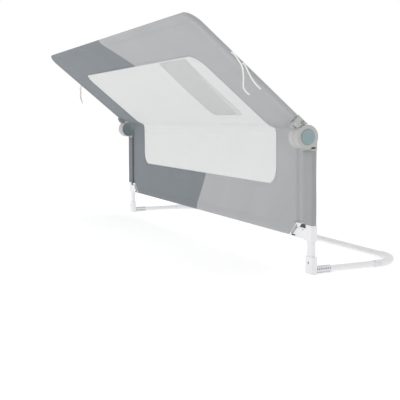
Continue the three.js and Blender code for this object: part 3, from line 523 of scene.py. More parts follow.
def on_cloth(x, rise, depth):
    """A place on the cloth as a point of the part."""
    if rise <= FOLD_LOW:
        return AXIS + Vector((x, depth, rise))
    if rise >= FOLD_HIGH:
        return AXIS + Matrix.Rotation(TILT, 3, "X") @ Vector((x, depth, rise))
    share = (rise - FOLD_LOW) / (FOLD_HIGH - FOLD_LOW) * (len(FOLD) - 1)
    index = min(int(share), len(FOLD) - 2)
    here = FOLD[index].lerp(FOLD[index + 1], share - index)
    ahead = direction(index).lerp(direction(index + 1), share - index).normalized()
    return AXIS + here + Vector((x, ahead.z * (depth - FRONT), -ahead.y * (depth - FRONT)))


def direction(index):
    """The way the cloth runs at a point of the fold line."""
    if index == 0:
        return Vector((0, 0, 1))
    if index == len(FOLD) - 1:
        return Matrix.Rotation(TILT, 3, "X") @ Vector((0, 0, 1))
    return (FOLD[index + 1] - FOLD[index - 1]).normalized()


def lay_grid(bm, columns, rows, place):
    """Adds a grid to the mesh. place(column, row) gives each point, its flat place and its values."""
    layer = bm.loops.layers.uv.get("cloth") or bm.loops.layers.uv.new("cloth")
    made = bmesh.ops.create_grid(bm, x_segments=columns, y_segments=rows, size=0.5)["verts"]
    flat = {}
    for vert in made:
        column = round((vert.co.x + 0.5) * columns)
        row = round((vert.co.y + 0.5) * rows)
        vert.co, flat[vert], values = place(column, row)
        for name, value in values.items():
            vert[bm.verts.layers.float[name]] = value
    for face in {face for vert in made for face in vert.link_faces}:
        for loop in face.loops:
            loop[layer].uv = flat[loop.vert]
    return made


def bend_over_fold(piece):
    """Makes a piece follow the base below the fold and the upper frame above it."""
    start, end = on_cloth(0, BEND_LOW, FRONT), on_cloth(0, BEND_HIGH, FRONT)
    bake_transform(piece, "base", "upper_frame", start=start, end=end)


def with_values(*names):
    """A new mesh that can keep the named values at its points."""
    bm = bmesh.new()
    for name in names:
        bm.verts.layers.float.new(name)
    return bm


# The cover round the window, seen from the front, right of the middle

WINDOW_X = 0.443
WINDOW_LOW = -0.111
WINDOW_HIGH = 0.253
WINDOW_CORNER = 0.038
COVER_LOW = -0.2184
COVER_HIGH = 0.3595
COVER_X = 0.595
COVER_CORNER = 0.038

# The slanted lower corner, from the end of the hem's tube to the foot of the groove beside the post

HEM_END_X = 0.480
WEB_X = 0.533
WEB_LOW = -0.187
SLANT = (
    (HEM_END_X, COVER_LOW), (0.499, COVER_LOW), (0.504, -0.2174), (0.531, -0.1913), (WEB_X, WEB_LOW))
HEM_FADE = (0.35, 0.6)

# The groove, its first and last heights, the plain edge at the hinge, the heights between which the
# side channel swells, and those between which the rows lie closer for the fold

GROOVE_X = 0.5612
GROOVE_LOW = (-0.1868, -0.1845)
GROOVE_HIGH = (-0.014, 0.010)
PLAIN_X = 0.550
RELIEF_LOW = 0.028
RELIEF_HIGH = 0.0455
TURN_LOW = -0.022
TURN_HIGH = 0.056

# How many columns and rows the parts of the cover have

FEATURE_STEPS = 15
WEB_STEPS = 14
HEM_ROWS = 80
SLANT_ROWS = 24
GROOVE_ROWS = 46
TURN_ROWS = 36
SIDE_ROWS = 56
CORNER_ROWS = 20
TOP_ROWS = 90

# The binding at the window is (distance from the window, rise off the cloth). The other sections are
# (distance in from the outer edge, depth), from the seam to the outer edge at the front, and on to
# the seam at the back.

BINDING = (
    (0, 0.00115), (0.0003, 0.0003), (0.0010, -0.0001), (0.0030, -0.0002), (0.0068, -0.0001),
    (0.0076, 0.0003), (0.0092, 0.0001))
CHANNEL = (
    [(0.0210, 0.0129), (0.0204, 0.0129), (0.0196, 0.0128), (0.0180, 0.0126), (0.0145, 0.0122),
     (0.0095, 0.0119), (0.0060, 0.0121), (0.0030, 0.0128), (0.0010, 0.0143), (0, 0.0174)],
    [(0, 0.0174), (0.0010, 0.0205), (0.0030, 0.0220), (0.0060, 0.0227), (0.0095, 0.0229),
     (0.0145, 0.0226), (0.0175, 0.0214), (0.0195, 0.0185), (0.0204, 0.0162), (0.0210, 0.0152)])
GROOVE = (
    [(0.0282, 0.0129), (0.0274, 0.0130), (0.0264, 0.0136), (0.0246, 0.0149), (0.0228, 0.0159),
     (0.0210, 0.0164), (0.0120, 0.0164), (0.0020, 0.0164), (0, 0.0170)],
    [(0, 0.0170), (0.0020, 0.0176), (0.0120, 0.0176), (0.0265, 0.0176), (0.0292, 0.0171),
     (0.0300, 0.0160), (0.0306, 0.0152)])
PLAIN = (
    [(0.0170, 0.0129), (0.0100, 0.0129), (0.0030, 0.0129), (0.0008, 0.0131), (0, MIDDLE)],
    [(0, MIDDLE), (0.0008, 0.0150), (0.0030, 0.0152), (0.0100, 0.0152), (0.0170, 0.0152)])


def section(points):
    return evenly([Vector(point) for point in points], FEATURE_STEPS)


SECTIONS = [(section(front), section(back)) for front, back in (CHANNEL, GROOVE, PLAIN)]

# The arc that parts the dark cloth from the light

EDGE_RADIUS = 0.470
EDGE_CENTRE = (-0.377, 0.072)


def tint_edge(rise):
    """Where the dark cloth meets the light, at a height on the panel."""
    return EDGE_CENTRE[0] + math.sqrt(EDGE_RADIUS ** 2 - (rise - EDGE_CENTRE[1]) ** 2)


def around(centre_x, centre_rise, radius, degrees):
    angle = math.radians(degrees)
    return Vector((centre_x + radius * math.cos(angle), centre_rise + radius * math.sin(angle)))


class Station:
    """One row across the cover, from the window to the outer edge.

    kinds holds its shares of channel, groove and plain edge, and bow is how far it follows the curve
    of the coloured edge."""

    def __init__(self, inner, outer, outward, kinds, bow=0.0):
        self.inner = inner
        self.outer = outer
        self.outward = outward.normalized()
        self.kinds = kinds
        self.bow = bow

    def feature(self, layer):
        """The channel, groove or plain edge at this row, as (distance in, depth)."""
        total = [Vector((0, 0)) for _ in range(FEATURE_STEPS)]
        for share, pair in zip(self.kinds, SECTIONS):
            for point, part in zip(total, pair[layer]):
                point += part * share
        return total


def stations(side):
    """The rows of one half of the cover, from the coloured edge under the window round to the top."""
    rows = []
    inner_x, outer_x = WINDOW_X - WINDOW_CORNER, COVER_X - COVER_CORNER
    low, high = WINDOW_LOW + WINDOW_CORNER, WINDOW_HIGH - WINDOW_CORNER
    channel = (1, 0, 0)
    for i in range(HEM_ROWS):
        share = i / HEM_ROWS
        rows.append(Station(
            Vector((mix(side * tint_edge(WINDOW_LOW), inner_x, share), WINDOW_LOW)),
            Vector((mix(side * tint_edge(COVER_LOW), HEM_END_X, share), COVER_LOW)),
            Vector((0, -1)), channel, 1 - share))
    path = evenly([Vector(point) for point in SLANT], SLANT_ROWS + 1)
    for i in range(SLANT_ROWS):
        share = i / SLANT_ROWS
        hem = 1 - smooth(*HEM_FADE, share)
        rows.append(Station(
            around(inner_x, low, WINDOW_CORNER, 90 * share - 90), path[i],
            Vector((share, share - 1)), (hem, 0, 1 - hem)))
    for i in range(GROOVE_ROWS):
        share = i / GROOVE_ROWS
        rise = mix(WEB_LOW, TURN_LOW, share)
        recess = smooth(*GROOVE_LOW, rise)
        rows.append(Station(
            Vector((WINDOW_X, mix(low, TURN_LOW, share))),
            Vector((mix(WEB_X, GROOVE_X, recess), rise)), Vector((1, 0)), (0, recess, 1 - recess)))
    for i in range(TURN_ROWS):
        rise = mix(TURN_LOW, TURN_HIGH, i / TURN_ROWS)
        recess = 1 - smooth(*GROOVE_HIGH, rise)
        full = min(1.0, max(0.0, (rise - RELIEF_LOW) / (RELIEF_HIGH - RELIEF_LOW)))
        edge = mix(mix(PLAIN_X, GROOVE_X, recess), COVER_X, full)
        rows.append(Station(
            Vector((WINDOW_X, rise)), Vector((edge, rise)), Vector((1, 0)),
            (full, recess, max(0.0, 1 - full - recess))))
    for i in range(SIDE_ROWS):
        share = i / SIDE_ROWS
        rows.append(Station(
            Vector((WINDOW_X, mix(TURN_HIGH, high, share))),
            Vector((COVER_X, mix(TURN_HIGH, COVER_HIGH - COVER_CORNER, share))), Vector((1, 0)), channel))
    for i in range(CORNER_ROWS):
        degrees = 90 * i / CORNER_ROWS
        rows.append(Station(
            around(inner_x, high, WINDOW_CORNER, degrees),
            around(outer_x, COVER_HIGH - COVER_CORNER, COVER_CORNER, degrees),
            around(0, 0, 1, degrees), channel))
    for i in range(TOP_ROWS + 1):
        share = 1 - i / TOP_ROWS
        rows.append(Station(
            Vector((mix(side * tint_edge(WINDOW_HIGH), inner_x, share), WINDOW_HIGH)),
            Vector((mix(side * tint_edge(COVER_HIGH), outer_x, share), COVER_HIGH)),
            Vector((0, 1)), channel, 1 - share))
    return rows


def bowed(side, station, point):
    """Moves a point of a row along the rail so that the coloured edge follows its curve."""
    if not station.bow:
        return point
    low, high = station.inner.y, station.outer.y
    share = (point.y - low) / (high - low)
    chord = mix(tint_edge(low), tint_edge(high), share)
    return point + Vector((side * station.bow * (tint_edge(point.y) - chord), 0))


def half_section(station, layer):
    """(place on the panel, depth, distance from the window, distance from the seam) for each column,
    at the front for layer 0 and at the back for layer 1."""
    feature = station.feature(layer)
    if layer:
        feature = feature[::-1]
    plane, sign = (BACK, -1) if layer else (FRONT, 1)
    seam = station.outer - station.outward * feature[0].x
    width = (seam - station.inner).length
    ahead = (seam - station.inner).normalized()
    columns = [
        (station.inner + ahead * away, plane + sign * rise, away, width - away) for away, rise in BINDING]
    start = BINDING[-1][0]
    for i in range(1, WEB_STEPS):
        away = mix(start, width, i / WEB_STEPS)
        columns.append((station.inner + ahead * away, plane, away, width - away))
    for point in feature:
        place = station.outer - station.outward * point.x
        columns.append((place, point.y, width + feature[0].x - point.x, point.x - feature[0].x))
    return columns


# The wrinkles, each (waves per metre, share of the height), the puckers beside the seams, and the
# distances from the window and from the channel over which the cloth comes free

WRINKLES = ((9, 1.0), (23, 0.5))
BROAD_SHARE = 1.6
PUCKERS = 95
PUCKERS_UP = 4
PUCKER_SHARE = 0.8
PUCKER_REACH = 0.008
FREE_OF_WINDOW = (0.004, 0.03)
FREE_OF_CHANNEL = (0.0, 0.025)


def wrinkle(x, rise, from_window, from_channel, along, height):
    """How far soft wrinkles and the puckers beside seams move the cloth, along its depth."""
    seed = 3.0 if x > 0 else 11.0
    broad = sum(share * noise.noise(Vector((x * scale, rise * scale, seed))) for scale, share in WRINKLES)
    free = smooth(*FREE_OF_WINDOW, from_window) * smooth(*FREE_OF_CHANNEL, from_channel)
    fade = math.exp(-abs(from_channel) / PUCKER_REACH)
    pucker = noise.noise(Vector((along * PUCKERS, seed, rise * PUCKERS_UP))) * fade
    return height * (BROAD_SHARE * broad * free + PUCKER_SHARE * pucker)


# The cover's closed ends at the coloured edge: half their depth, how far each stands off it, and the
# least width that the cloth is taken to have

END_DEPTH = 0.0003
END_GAP = 0.00008
NARROWEST = 0.01

# The lap of cloth on each hinge's upper arm: its reach up the arm and along the rail, the slant of
# its outer end, and how far it stands off the arm

LAP_LOW = 0.0295
LAP_HIGH = 0.0470
LAP_X = 0.577
LAP_SLANT = (0.58, -0.81)
LAP_LIFT = 0.0006

# The padded sleeve round each post. An end's levels are (distance from the end, distance turned in).
# SLEEVE_LUMPS are the lumps of its padding per metre, round it and up, and SLEEVE_FLAT is where the
# sleeve starts in the flat cloth.

SLEEVE_LOW = -0.1858
SLEEVE_HIGH = -0.0293
SLEEVE_X = 0.600
SLEEVE_WIDTH = 0.038
SLEEVE_FRONT = 0.0101
SLEEVE_BACK = 0.0224
SLEEVE_CORNER = 0.0032
SLEEVE_SIDES = 88
SLEEVE_ROWS = 48
SLEEVE_ENDS = ((0.010, 0.0016), (0.002, 0.0014), (0.0003, 0.0009), (0, 0.0003))
SLEEVE_PAD = 0.0004
SLEEVE_LUMPS = (60, 16)
SLEEVE_HEM = 0.004
SLEEVE_FLAT = 0.9
ARC_STEPS = 6

# The window net and the pocket, how deep each hangs back, how far from its edge it comes free, and
# its ripples, their height and their number per metre. The net's rows are (from, to, count).

NET_X = 0.450
NET_LOW = -0.118
NET_HIGH = 0.260
NET_COLUMNS = 150
NET_ROWS = ((NET_LOW, -0.02, 24), (-0.02, 0.05, 40), (0.05, NET_HIGH, 52))
NET_SLACK = 0.0035
NET_SLACK_BELOW = 0.0008
NET_FREE = 0.35
NET_RIPPLE = 0.0004
NET_RIPPLES = 12
NET_RIPPLE_FREE = 0.1
POCKET_LEFT = 0.213
POCKET_RIGHT = 0.375
POCKET_LOW = 0.056
POCKET_HIGH = 0.248
POCKET_CORNER = 0.014
POCKET_DEPTH = 0.0152
POCKET_COLUMNS = 54
POCKET_ROWS = 64
POCKET_BELLY = 0.0009
POCKET_FREE = 0.03
POCKET_RIPPLE = 0.0005
POCKET_RIPPLES = (30, 14)

# The hinges: where their inner faces begin, and the radius of the drum

CHEEK_X = 0.5619
DRUM_RADIUS = 0.0262

# The corner brackets' front: how far the ribs stand out, where they and the recesses start, how deep
# the recesses go, and where the catch's slot begins. The recesses and the ribs' sides get painted shade.

RIB_PROUD = 0.0012
RIB_START = 0.0001
RECESS_START = 0.0003
RECESS_DEPTH = 0.0032
CATCH_X = 0.5662

# The grips, and their rows of slots in degrees: from row to row, the first one, and half of one

GRIP_SIDES = 60
GRIP_BORE = 0.0068
GRIP_SLOTS = 8
GRIP_SLOT_DEPTH = 0.0011
SLOT_TURN = 60
SLOT_FIRST = 20
SLOT_HALF = 12
GRIP_GRAIN = 0.00006

# Radii on the edges of the moulded and bent pieces

BRACKET_EDGE = 0.0004
FOOT_EDGE = 0.0008
TUBE_EDGE = 0.0003

# The camera: its turns in degrees, its place in metres, and its focal length and centre in pixels of
# a picture PICTURE wide and high

PICTURE = 400
CAMERA_TURNS = (64.368, -2.865, -0.175)
CAMERA_PLACE = (1.9261, -0.8304, 0.3332)
FOCAL = 752.2
CENTRE = (224.77, 153.94)
SENSOR = 36

# The floor and the lamps, each lamp with its place, size and share of the key lamp's power

FLOOR_REACH = 12
LAMPS = (("Key lamp", (-0.9, -2.6, 1.5), 1.8, 1.0), ("Top lamp", (0.2, 0.4, 2.6), 2.0, 0.4))
LAMP_AIM = (0, 0, 0.25)


# Operators


class RAIL_OT_stage(bpy.types.Operator):
    """Sets up the camera, the pale floor, the white background and the lamps"""
    bl_idname = "rail.add_stage"
    bl_label = "Add Stage"

    def execute(self, context):
        settings = context.scene.rail_stage
        self.add_camera(context.scene)
        self.add_floor(settings)
        self.add_light(context.scene, settings)
        context.scene.view_settings.view_transform = "Standard"
        return {"FINISHED"}

    def add_camera(self, scene):
        camera = bpy.data.objects.new("Camera", bpy.data.cameras.new("Camera"))
        scene.collection.objects.link(camera)
        yaw, pitch, roll = (math.radians(turn) for turn in CAMERA_TURNS)
        ahead = Vector((
            -math.sin(yaw) * math.cos(pitch), math.cos(yaw) * math.cos(pitch), math.sin(pitch)))
        right = Vector((math.cos(yaw), math.sin(yaw), 0))
        up = right.cross(ahead)
        right, up = (
            right * math.cos(roll) + up * math.sin(roll),
            up * math.cos(roll) - right * math.sin(roll))
        turn = Matrix((right, up, -ahead)).transposed().to_4x4()
        camera.matrix_world = Matrix.Translation(CAMERA_PLACE) @ turn
        camera.data.sensor_width = SENSOR
        camera.data.lens = SENSOR * FOCAL / PICTURE
        camera.data.shift_x = (PICTURE / 2 - CENTRE[0]) / PICTURE
        camera.data.shift_y = (CENTRE[1] - PICTURE / 2) / PICTURE
        scene.camera = camera

    def add_floor(self, settings):
        bm = bmesh.new()
        bmesh.ops.create_grid(bm, x_segments=4, y_segments=4, size=FLOOR_REACH)
        mesh = bpy.data.meshes.new("floor")
        bm.to_mesh(mesh)
        bm.free()
        floor = bpy.data.objects.new("floor", mesh)
        bpy.context.scene.collection.objects.link(floor)
        material = bpy.data.materials.new("floor")
        material.use_nodes = True
        tree = material.node_tree
        tree.nodes.clear()
        place = node(tree, "ShaderNodeTexCoord").outputs["Object"]
        tint = varied(tree, settings.floor, place, scale=0.6, amount=0.004)
        matt = node(tree, "ShaderNodeBsdfDiffuse", {"Color": tint})
        glow = node(tree, "ShaderNodeEmission", {
            "Strength": spread(tree, self.seen_share(tree), settings.bounce, settings.lift)})
        both = node(tree, "ShaderNodeAddShader", {0: matt.outputs[0], 1: glow.outputs[0]})
        node(tree, "ShaderNodeOutputMaterial", {"Surface": both.outputs[0]})
        mesh.materials.append(material)

    def seen_share(self, tree):
        """1 for rays that look at a thing, 0 for rays that light it."""
        rays = node(tree, "ShaderNodeLightPath").outputs
        either = math_node(tree, "MAXIMUM", rays["Is Camera Ray"], rays["Is Glossy Ray"])
        return math_node(tree, "MAXIMUM", either, rays["Is Transmission Ray"])

    def add_light(self, scene, settings):
        world = bpy.data.worlds.new("Studio")
        scene.world = world
        world.use_nodes = True
        tree = world.node_tree
        tree.nodes.clear()
        light = node(tree, "ShaderNodeBackground", {"Strength": settings.sky})
        white = node(tree, "ShaderNodeBackground", {"Strength": 1.0})
        for background in (light, white):
            background.inputs["Color"].default_value = (1, 1, 1, 1)
        both = node(tree, "ShaderNodeMixShader", {
            0: self.seen_share(tree), 1: light.outputs[0], 2: white.outputs[0]})
        node(tree, "ShaderNodeOutputWorld", {"Surface": both.outputs[0]})
        for name, place, size, share in LAMPS:
            lamp = bpy.data.lights.new(name, "AREA")
            lamp.size = size
            lamp.energy = settings.key * share
            holder = bpy.data.objects.new(name, lamp)
            scene.collection.objects.link(holder)
            holder.location = place
            aim = Vector(LAMP_AIM) - Vector(place)
            holder.rotation_euler = aim.to_track_quat("-Z", "Y").to_euler()


class RAIL_OT_cords(bpy.types.Operator):
    """Adds the ends of the drawcords that hang from the sides of the upper cover"""
    bl_idname = "rail.add_cords"
    bl_label = "Add Drawcords"

    def execute(self, context):
        material = self.cord_material(context.scene.rail_cloth.cord)
        for place, (side, rise, offsets) in ROUTES.items():
            name = "drawcord_" + place
            points = cord_points(side, rise, offsets)
            curve = bpy.data.curves.new(name + "_line", "CURVE")
            curve.dimensions = "3D"
            spline = curve.splines.new("POLY")
            spline.points.add(len(points) - 1)
            for held, point in zip(spline.points, points):
                held.co = (*point, 1)
            curve.bevel_depth = CORD_DIAMETER / 2
            curve.bevel_resolution = 4
            curve.use_fill_caps = True
            curve.materials.append(material)
            cord = bpy.data.objects.new("cord_" + place, curve)
            context.scene.collection.objects.link(cord)
            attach(cord, "upper_frame")
            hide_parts(name)
            steps = zip(points, points[1:])
            sum((b - a).length for a, b in steps)
        return {"FINISHED"}

    def cord_material(self, tint):
        """Braided polyester cord: short slanting strands with a soft sheen."""
        material, tree, shader = new_material("drawcord", roughness=0.75)
        place = node(tree, "ShaderNodeTexCoord").outputs["Object"]
        strands = node(tree, "ShaderNodeTexWave", {
            "Vector": place, "Scale": 260.0, "Distortion": 1.5, "Detail": 2.0},
            wave_type="BANDS", bands_direction="DIAGONAL")
        linked(tree, shader, {
            "Base Color": varied(tree, tint, place, scale=500.0, amount=0.06),
            "Normal": bumped(tree, strands.outputs["Fac"], strength=0.6, distance=0.0002)})
        shader.inputs["Sheen Weight"].default_value = 0.2
        return material


class RAIL_OT_covers(bpy.types.Operator):
    """Adds the two halves of the sewn cover, dark at the left end and light at the right"""
    bl_idname = "rail.add_covers"
    bl_label = "Add Covers"

    def execute(self, context):
        cloth = context.scene.rail_cloth
        for name, side, tone in (("dark", -1, cloth.dark), ("light", 1, cloth.light)):
            end = "right" if side > 0 else "left"
            slot = name + "_cloth"
            thread = [min(1.0, value * THREAD_TONE) for value in tone]
            material = woven(slot, tone, thread)
            bm = with_values(*SEAM_VALUES)
            self.add_band(bm, side, cloth)
            band = len(bm.faces)
            self.add_sleeve(bm, side)
            for face in list(bm.faces)[band:]:
                face.material_index = 1
            bmesh.ops.remove_doubles(bm, verts=bm.verts, dist=2e-5)
            bmesh.ops.edgeloop_fill(bm, edges=[edge for edge in bm.edges if edge.is_boundary])
            bmesh.ops.recalc_face_normals(bm, faces=bm.faces)
            cover = finished(
                "cover_" + name, bm, material, None, ["upper_cover_" + name, "lower_cover_" + name],
                sharp=SHARP_SOFT)
            padding = [value * cloth.sleeve for value in tone]
            cover.data.materials.append(woven(name + "_sleeve", padding, thread))
            bend_over_fold(cover)
            self.add_lap(end, side, material, slot)
        return {"FINISHED"}

    def add_lap(self, end, side, material, slot):
        """The end of the cloth that laps over the inner part of a hinge's upper arm."""
        bm = copy_of("hinge_upper_arm_" + end)
        bmesh.ops.translate(bm, verts=bm.verts, vec=-AXIS)
        bmesh.ops.rotate(bm, verts=bm.verts, matrix=Matrix.Rotation(-TILT, 3, "X"))
        slant_x, slant_rise = LAP_SLANT
        for place, away in (
                ((0, 0, LAP_LOW), (0, 0, -1)), ((0, 0, LAP_HIGH), (0, 0, 1)),
                ((side * LAP_X, 0, LAP_LOW), (side * slant_x, 0, slant_rise))):
            bmesh.ops.bisect_plane(
                bm, geom=[*bm.verts, *bm.edges, *bm.faces], dist=1e-6, plane_co=place, plane_no=away,
                clear_outer=True)
        bm.normal_update()
        for vert in bm.verts:
            vert.co += vert.normal * LAP_LIFT
        flat = bm.loops.layers.uv.new("cloth")
        for name in SEAM_VALUES:
            layer = bm.verts.layers.float.new(name)
            for vert in bm.verts:
                vert[layer] = NO_SEAM
        for loop in (loop for face in bm.faces for loop in face.loops):
            loop[flat].uv = (loop.vert.co.x, loop.vert.co.z + loop.vert.co.y)
        bmesh.ops.rotate(bm, verts=bm.verts, matrix=Matrix.Rotation(TILT, 3, "X"))
        bmesh.ops.translate(bm, verts=bm.verts, vec=AXIS)
        lap = finished("lap_" + end, bm, material, "upper_frame", sharp=SHARP_SOFT)
        thick = lap.modifiers.new("Thickness", "SOLIDIFY")
        thick.thickness = LAP_LIFT * 0.8
        thick.offset = -1

    def add_band(self, bm, side, cloth):
        """The closed double band of cloth round the window, with its channels and grooves."""
        rows = stations(side)
        sections = [half_section(row, 0) + half_section(row, 1)[::-1] for row in rows]
        seam = len(BINDING) + WEB_STEPS - 1
        window_run, edge_run = [0.0], [0.0]
        for before, after in zip(rows, rows[1:]):
            window_run.append(window_run[-1] + (after.inner - before.inner).length)
        for before, after in zip(sections, sections[1:]):
            edge_run.append(edge_run[-1] + (after[seam][0] - before[seam][0]).length)
        last = len(sections[0]) - 1

        def place(column, row):
            point, depth, from_window, from_channel = sections[row][column]
            point = bowed(side, rows[row], point)
            width = max(from_window + from_channel, NARROWEST)
            across = min(1.0, max(0.0, from_window / width))
            along = mix(window_run[row], edge_run[row], across)
            x = side * point.x
            lift = wrinkle(x, point.y, from_window, from_channel, along, cloth.wrinkle)
            free = smooth(0, 2, row) * smooth(0, 2, len(rows) - 1 - row)
            front = column < last / 2
            depth += lift * free + (1 - free) * (END_DEPTH if front else -END_DEPTH)
            x += side * END_GAP * (1 - free)
            return (
                on_cloth(x, point.y, depth), (x, point.y + (0 if front else 1)),
                dict(zip(SEAM_VALUES, (from_window, from_channel, along))))

        lay_grid(bm, last, len(rows) - 1, place)

    def add_sleeve(self, bm, side):
        """The padded sleeve round a post, its ends turned in."""
        left, half_width = SLEEVE_X - SLEEVE_WIDTH, SLEEVE_WIDTH / 2
        half_depth = (SLEEVE_BACK - SLEEVE_FRONT) / 2
        corner = SLEEVE_CORNER
        ring = []
        for x, depth, start in (
                (SLEEVE_X - corner, SLEEVE_FRONT + corner, -90), (SLEEVE_X - corner, SLEEVE_BACK - corner, 0),
                (left + corner, SLEEVE_BACK - corner, 90), (left + corner, SLEEVE_FRONT + corner, 180)):
            ring += [around(x, depth, corner, start + 90 * i / ARC_STEPS) for i in range(ARC_STEPS + 1)]
        ring = evenly(ring + [ring[0]], SLEEVE_SIDES + 1)
        middle = Vector((left + half_width, SLEEVE_FRONT + half_depth))
        girth = sum((b - a).length for a, b in zip(ring, ring[1:]))
        first, second = SLEEVE_LOW + SLEEVE_ENDS[1][0], SLEEVE_HIGH - SLEEVE_ENDS[1][0]
        levels = [(SLEEVE_LOW + away, inset) for away, inset in SLEEVE_ENDS]
        levels += [(mix(first, second, i / SLEEVE_ROWS), 0.0) for i in range(SLEEVE_ROWS + 1)]
        levels += [(SLEEVE_HIGH - away, inset) for away, inset in reversed(SLEEVE_ENDS)]

        def place(column, row):
            point = ring[column]
            rise, inset = levels[row]
            around_it, up_it = SLEEVE_LUMPS
            lump = noise.noise(Vector((point.x * around_it, rise * up_it, point.y * around_it + side * 5)))
            from_end = min(rise - SLEEVE_LOW, SLEEVE_HIGH - rise)
            hem = math.exp(-abs(from_end) / SLEEVE_HEM)
            inset += SLEEVE_PAD * lump * (1 - hem)
            inward = middle - point
            point = point + Vector((inward.x / half_width, inward.y / half_depth)) * inset
            spot = (side * (SLEEVE_FLAT + girth * column / SLEEVE_SIDES), rise)
            return (
                on_cloth(side * point.x, rise, point.y), spot,
                dict(zip(SEAM_VALUES, (NO_SEAM, from_end, spot[0]))))

        lay_grid(bm, SLEEVE_SIDES, len(levels) - 1, place)


class RAIL_OT_window(bpy.types.Operator):
    """Adds the net window, in one piece over the fold, and the pocket behind it"""
    bl_idname = "rail.add_window"
    bl_label = "Add Window"

    def execute(self, context):
        cloth = context.scene.rail_cloth
        self.add_net(netting("window_net", cloth.net, pitch=0.0021, least=0.12, most=0.86))
        self.add_pocket(netting(
            "pocket_net", cloth.pocket, pitch=0.0012, least=0.35, most=0.85, hems=(0.0008, 0.0050)))
        return {"FINISHED"}

    def add_net(self, material):
        rises = [mix(low, high, i / count) for low, high, count in NET_ROWS for i in range(count)]
        rises.append(NET_HIGH)
        bm = with_values("from_edge")

        def place(column, row):
            x = mix(-NET_X, NET_X, column / NET_COLUMNS)
            rise = rises[row]
            inside = min(abs(x) - WINDOW_X, 0) / -WINDOW_X
            up = math.sin(math.pi * min(1.0, max(0.0, rise / WINDOW_HIGH)))
            down = math.sin(math.pi * min(1.0, max(0.0, rise / WINDOW_LOW)))
            slack = smooth(0, NET_FREE, inside) * (NET_SLACK * up + NET_SLACK_BELOW * down)
            ripple = NET_RIPPLE * noise.noise(Vector((x * NET_RIPPLES, rise * NET_RIPPLES, 2.0)))
            ripple *= smooth(0, NET_RIPPLE_FREE, inside)
            from_edge = min(WINDOW_X - abs(x), WINDOW_HIGH - rise, rise - WINDOW_LOW)
            return on_cloth(x, rise, MIDDLE - slack + ripple), (x, rise), {"from_edge": from_edge}

        lay_grid(bm, NET_COLUMNS, len(rises) - 1, place)
        turn_to_front(bm)
        net = finished(
            "net_window", bm, material, None, ["window_mesh_upper", "window_mesh_lower"],
            sharp=SHARP_NET)
        bend_over_fold(net)

    def add_pocket(self, material):
        bm = with_values("from_edge")

        def place(column, row):
            x = mix(POCKET_LEFT, POCKET_RIGHT, column / POCKET_COLUMNS)
            from_side = min(x - POCKET_LEFT, POCKET_RIGHT - x)
            reach = max(0.0, POCKET_CORNER - from_side)
            foot = POCKET_LOW + POCKET_CORNER - math.sqrt(max(0.0, POCKET_CORNER ** 2 - reach ** 2))
            rise = mix(foot, POCKET_HIGH, row / POCKET_ROWS)
            from_edge = min(from_side, rise - foot)
            belly = POCKET_BELLY * smooth(0, POCKET_FREE, from_edge)
            along, up = POCKET_RIPPLES
            ripple = POCKET_RIPPLE * noise.noise(Vector((x * along, rise * up, 7.0)))
            slack = NET_SLACK * math.sin(math.pi * min(1.0, rise / WINDOW_HIGH))
            depth = POCKET_DEPTH - slack + belly + ripple
            return on_cloth(x, rise, depth), (x, rise), {"from_edge": from_edge}

        lay_grid(bm, POCKET_COLUMNS, POCKET_ROWS, place)
        turn_to_front(bm)
        pocket = finished(
            "net_pocket", bm, material, "upper_frame", ["pocket"], sharp=SHARP_NET)


class RAIL_OT_hinges(bpy.types.Operator):
    """Adds the two hinges: housings, arms, push buttons, inner caps and screws"""
    bl_idname = "rail.add_hinges"
    bl_label = "Add Hinges"

    def execute(self, context):
        plastic, metal = context.scene.rail_plastic, context.scene.rail_metal
        shell = moulded("hinge_plastic", plastic.hinge, roughness=0.5)
        teal = moulded("teal_plastic", plastic.teal, roughness=0.5)
        inner = moulded("cap_plastic_and_hollow_shade", plastic.cap, roughness=0.55)
        dark = moulded("dark_plastic", plastic.dark, roughness=0.6)
        steel = bare_metal("steel", metal.steel, roughness=0.35)
        for end in ("left", "right"):
            for node_name, body, material, slot in (
                    ("hinge_lower_housing", "base", shell, "hinge_plastic"),
                    ("hinge_upper_arm", "upper_frame", shell, "hinge_plastic"),
                    ("hinge_button", "button_" + end, teal, "teal_plastic"),
                    ("hinge_inner_cap", "upper_frame", inner, "teal_plastic")):
                name = f"{node_name}_{end}"
                bm = copy_of(name)
                # Faces inside the drum on the inner side take the cap colour: the cap's own plastic, and
                # painted shade on the housing's and arm's walls of the hollow round it
                for face in bm.faces:
                    centre = face.calc_center_median()
                    off = math.hypot(centre.y - AXIS.y, centre.z - AXIS.z)
                    face.material_index = int(abs(centre.x) < CHEEK_X and off < DRUM_RADIUS)
                piece = finished(name + "_shell", bm, material, body, [name])
                piece.data.materials.append(inner)
                round_edges(piece, plastic.edge)
            for name in ("hinge_axle", "socket_front_screw", "socket_side_screw"):
                dress(f"{name}_{end}", steel)
            dress("lock_gear_" + end, dark)
            self.add_spring(end, steel)
        return {"FINISHED"}

    def add_spring(self, end, steel):
        """The coil behind a push button."""
        name = "button_spring_" + end
        coil = finished(name + "_coil", copy_of(name), steel, "base", [name], sharp=SHARP_SOFT)
        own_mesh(coil)


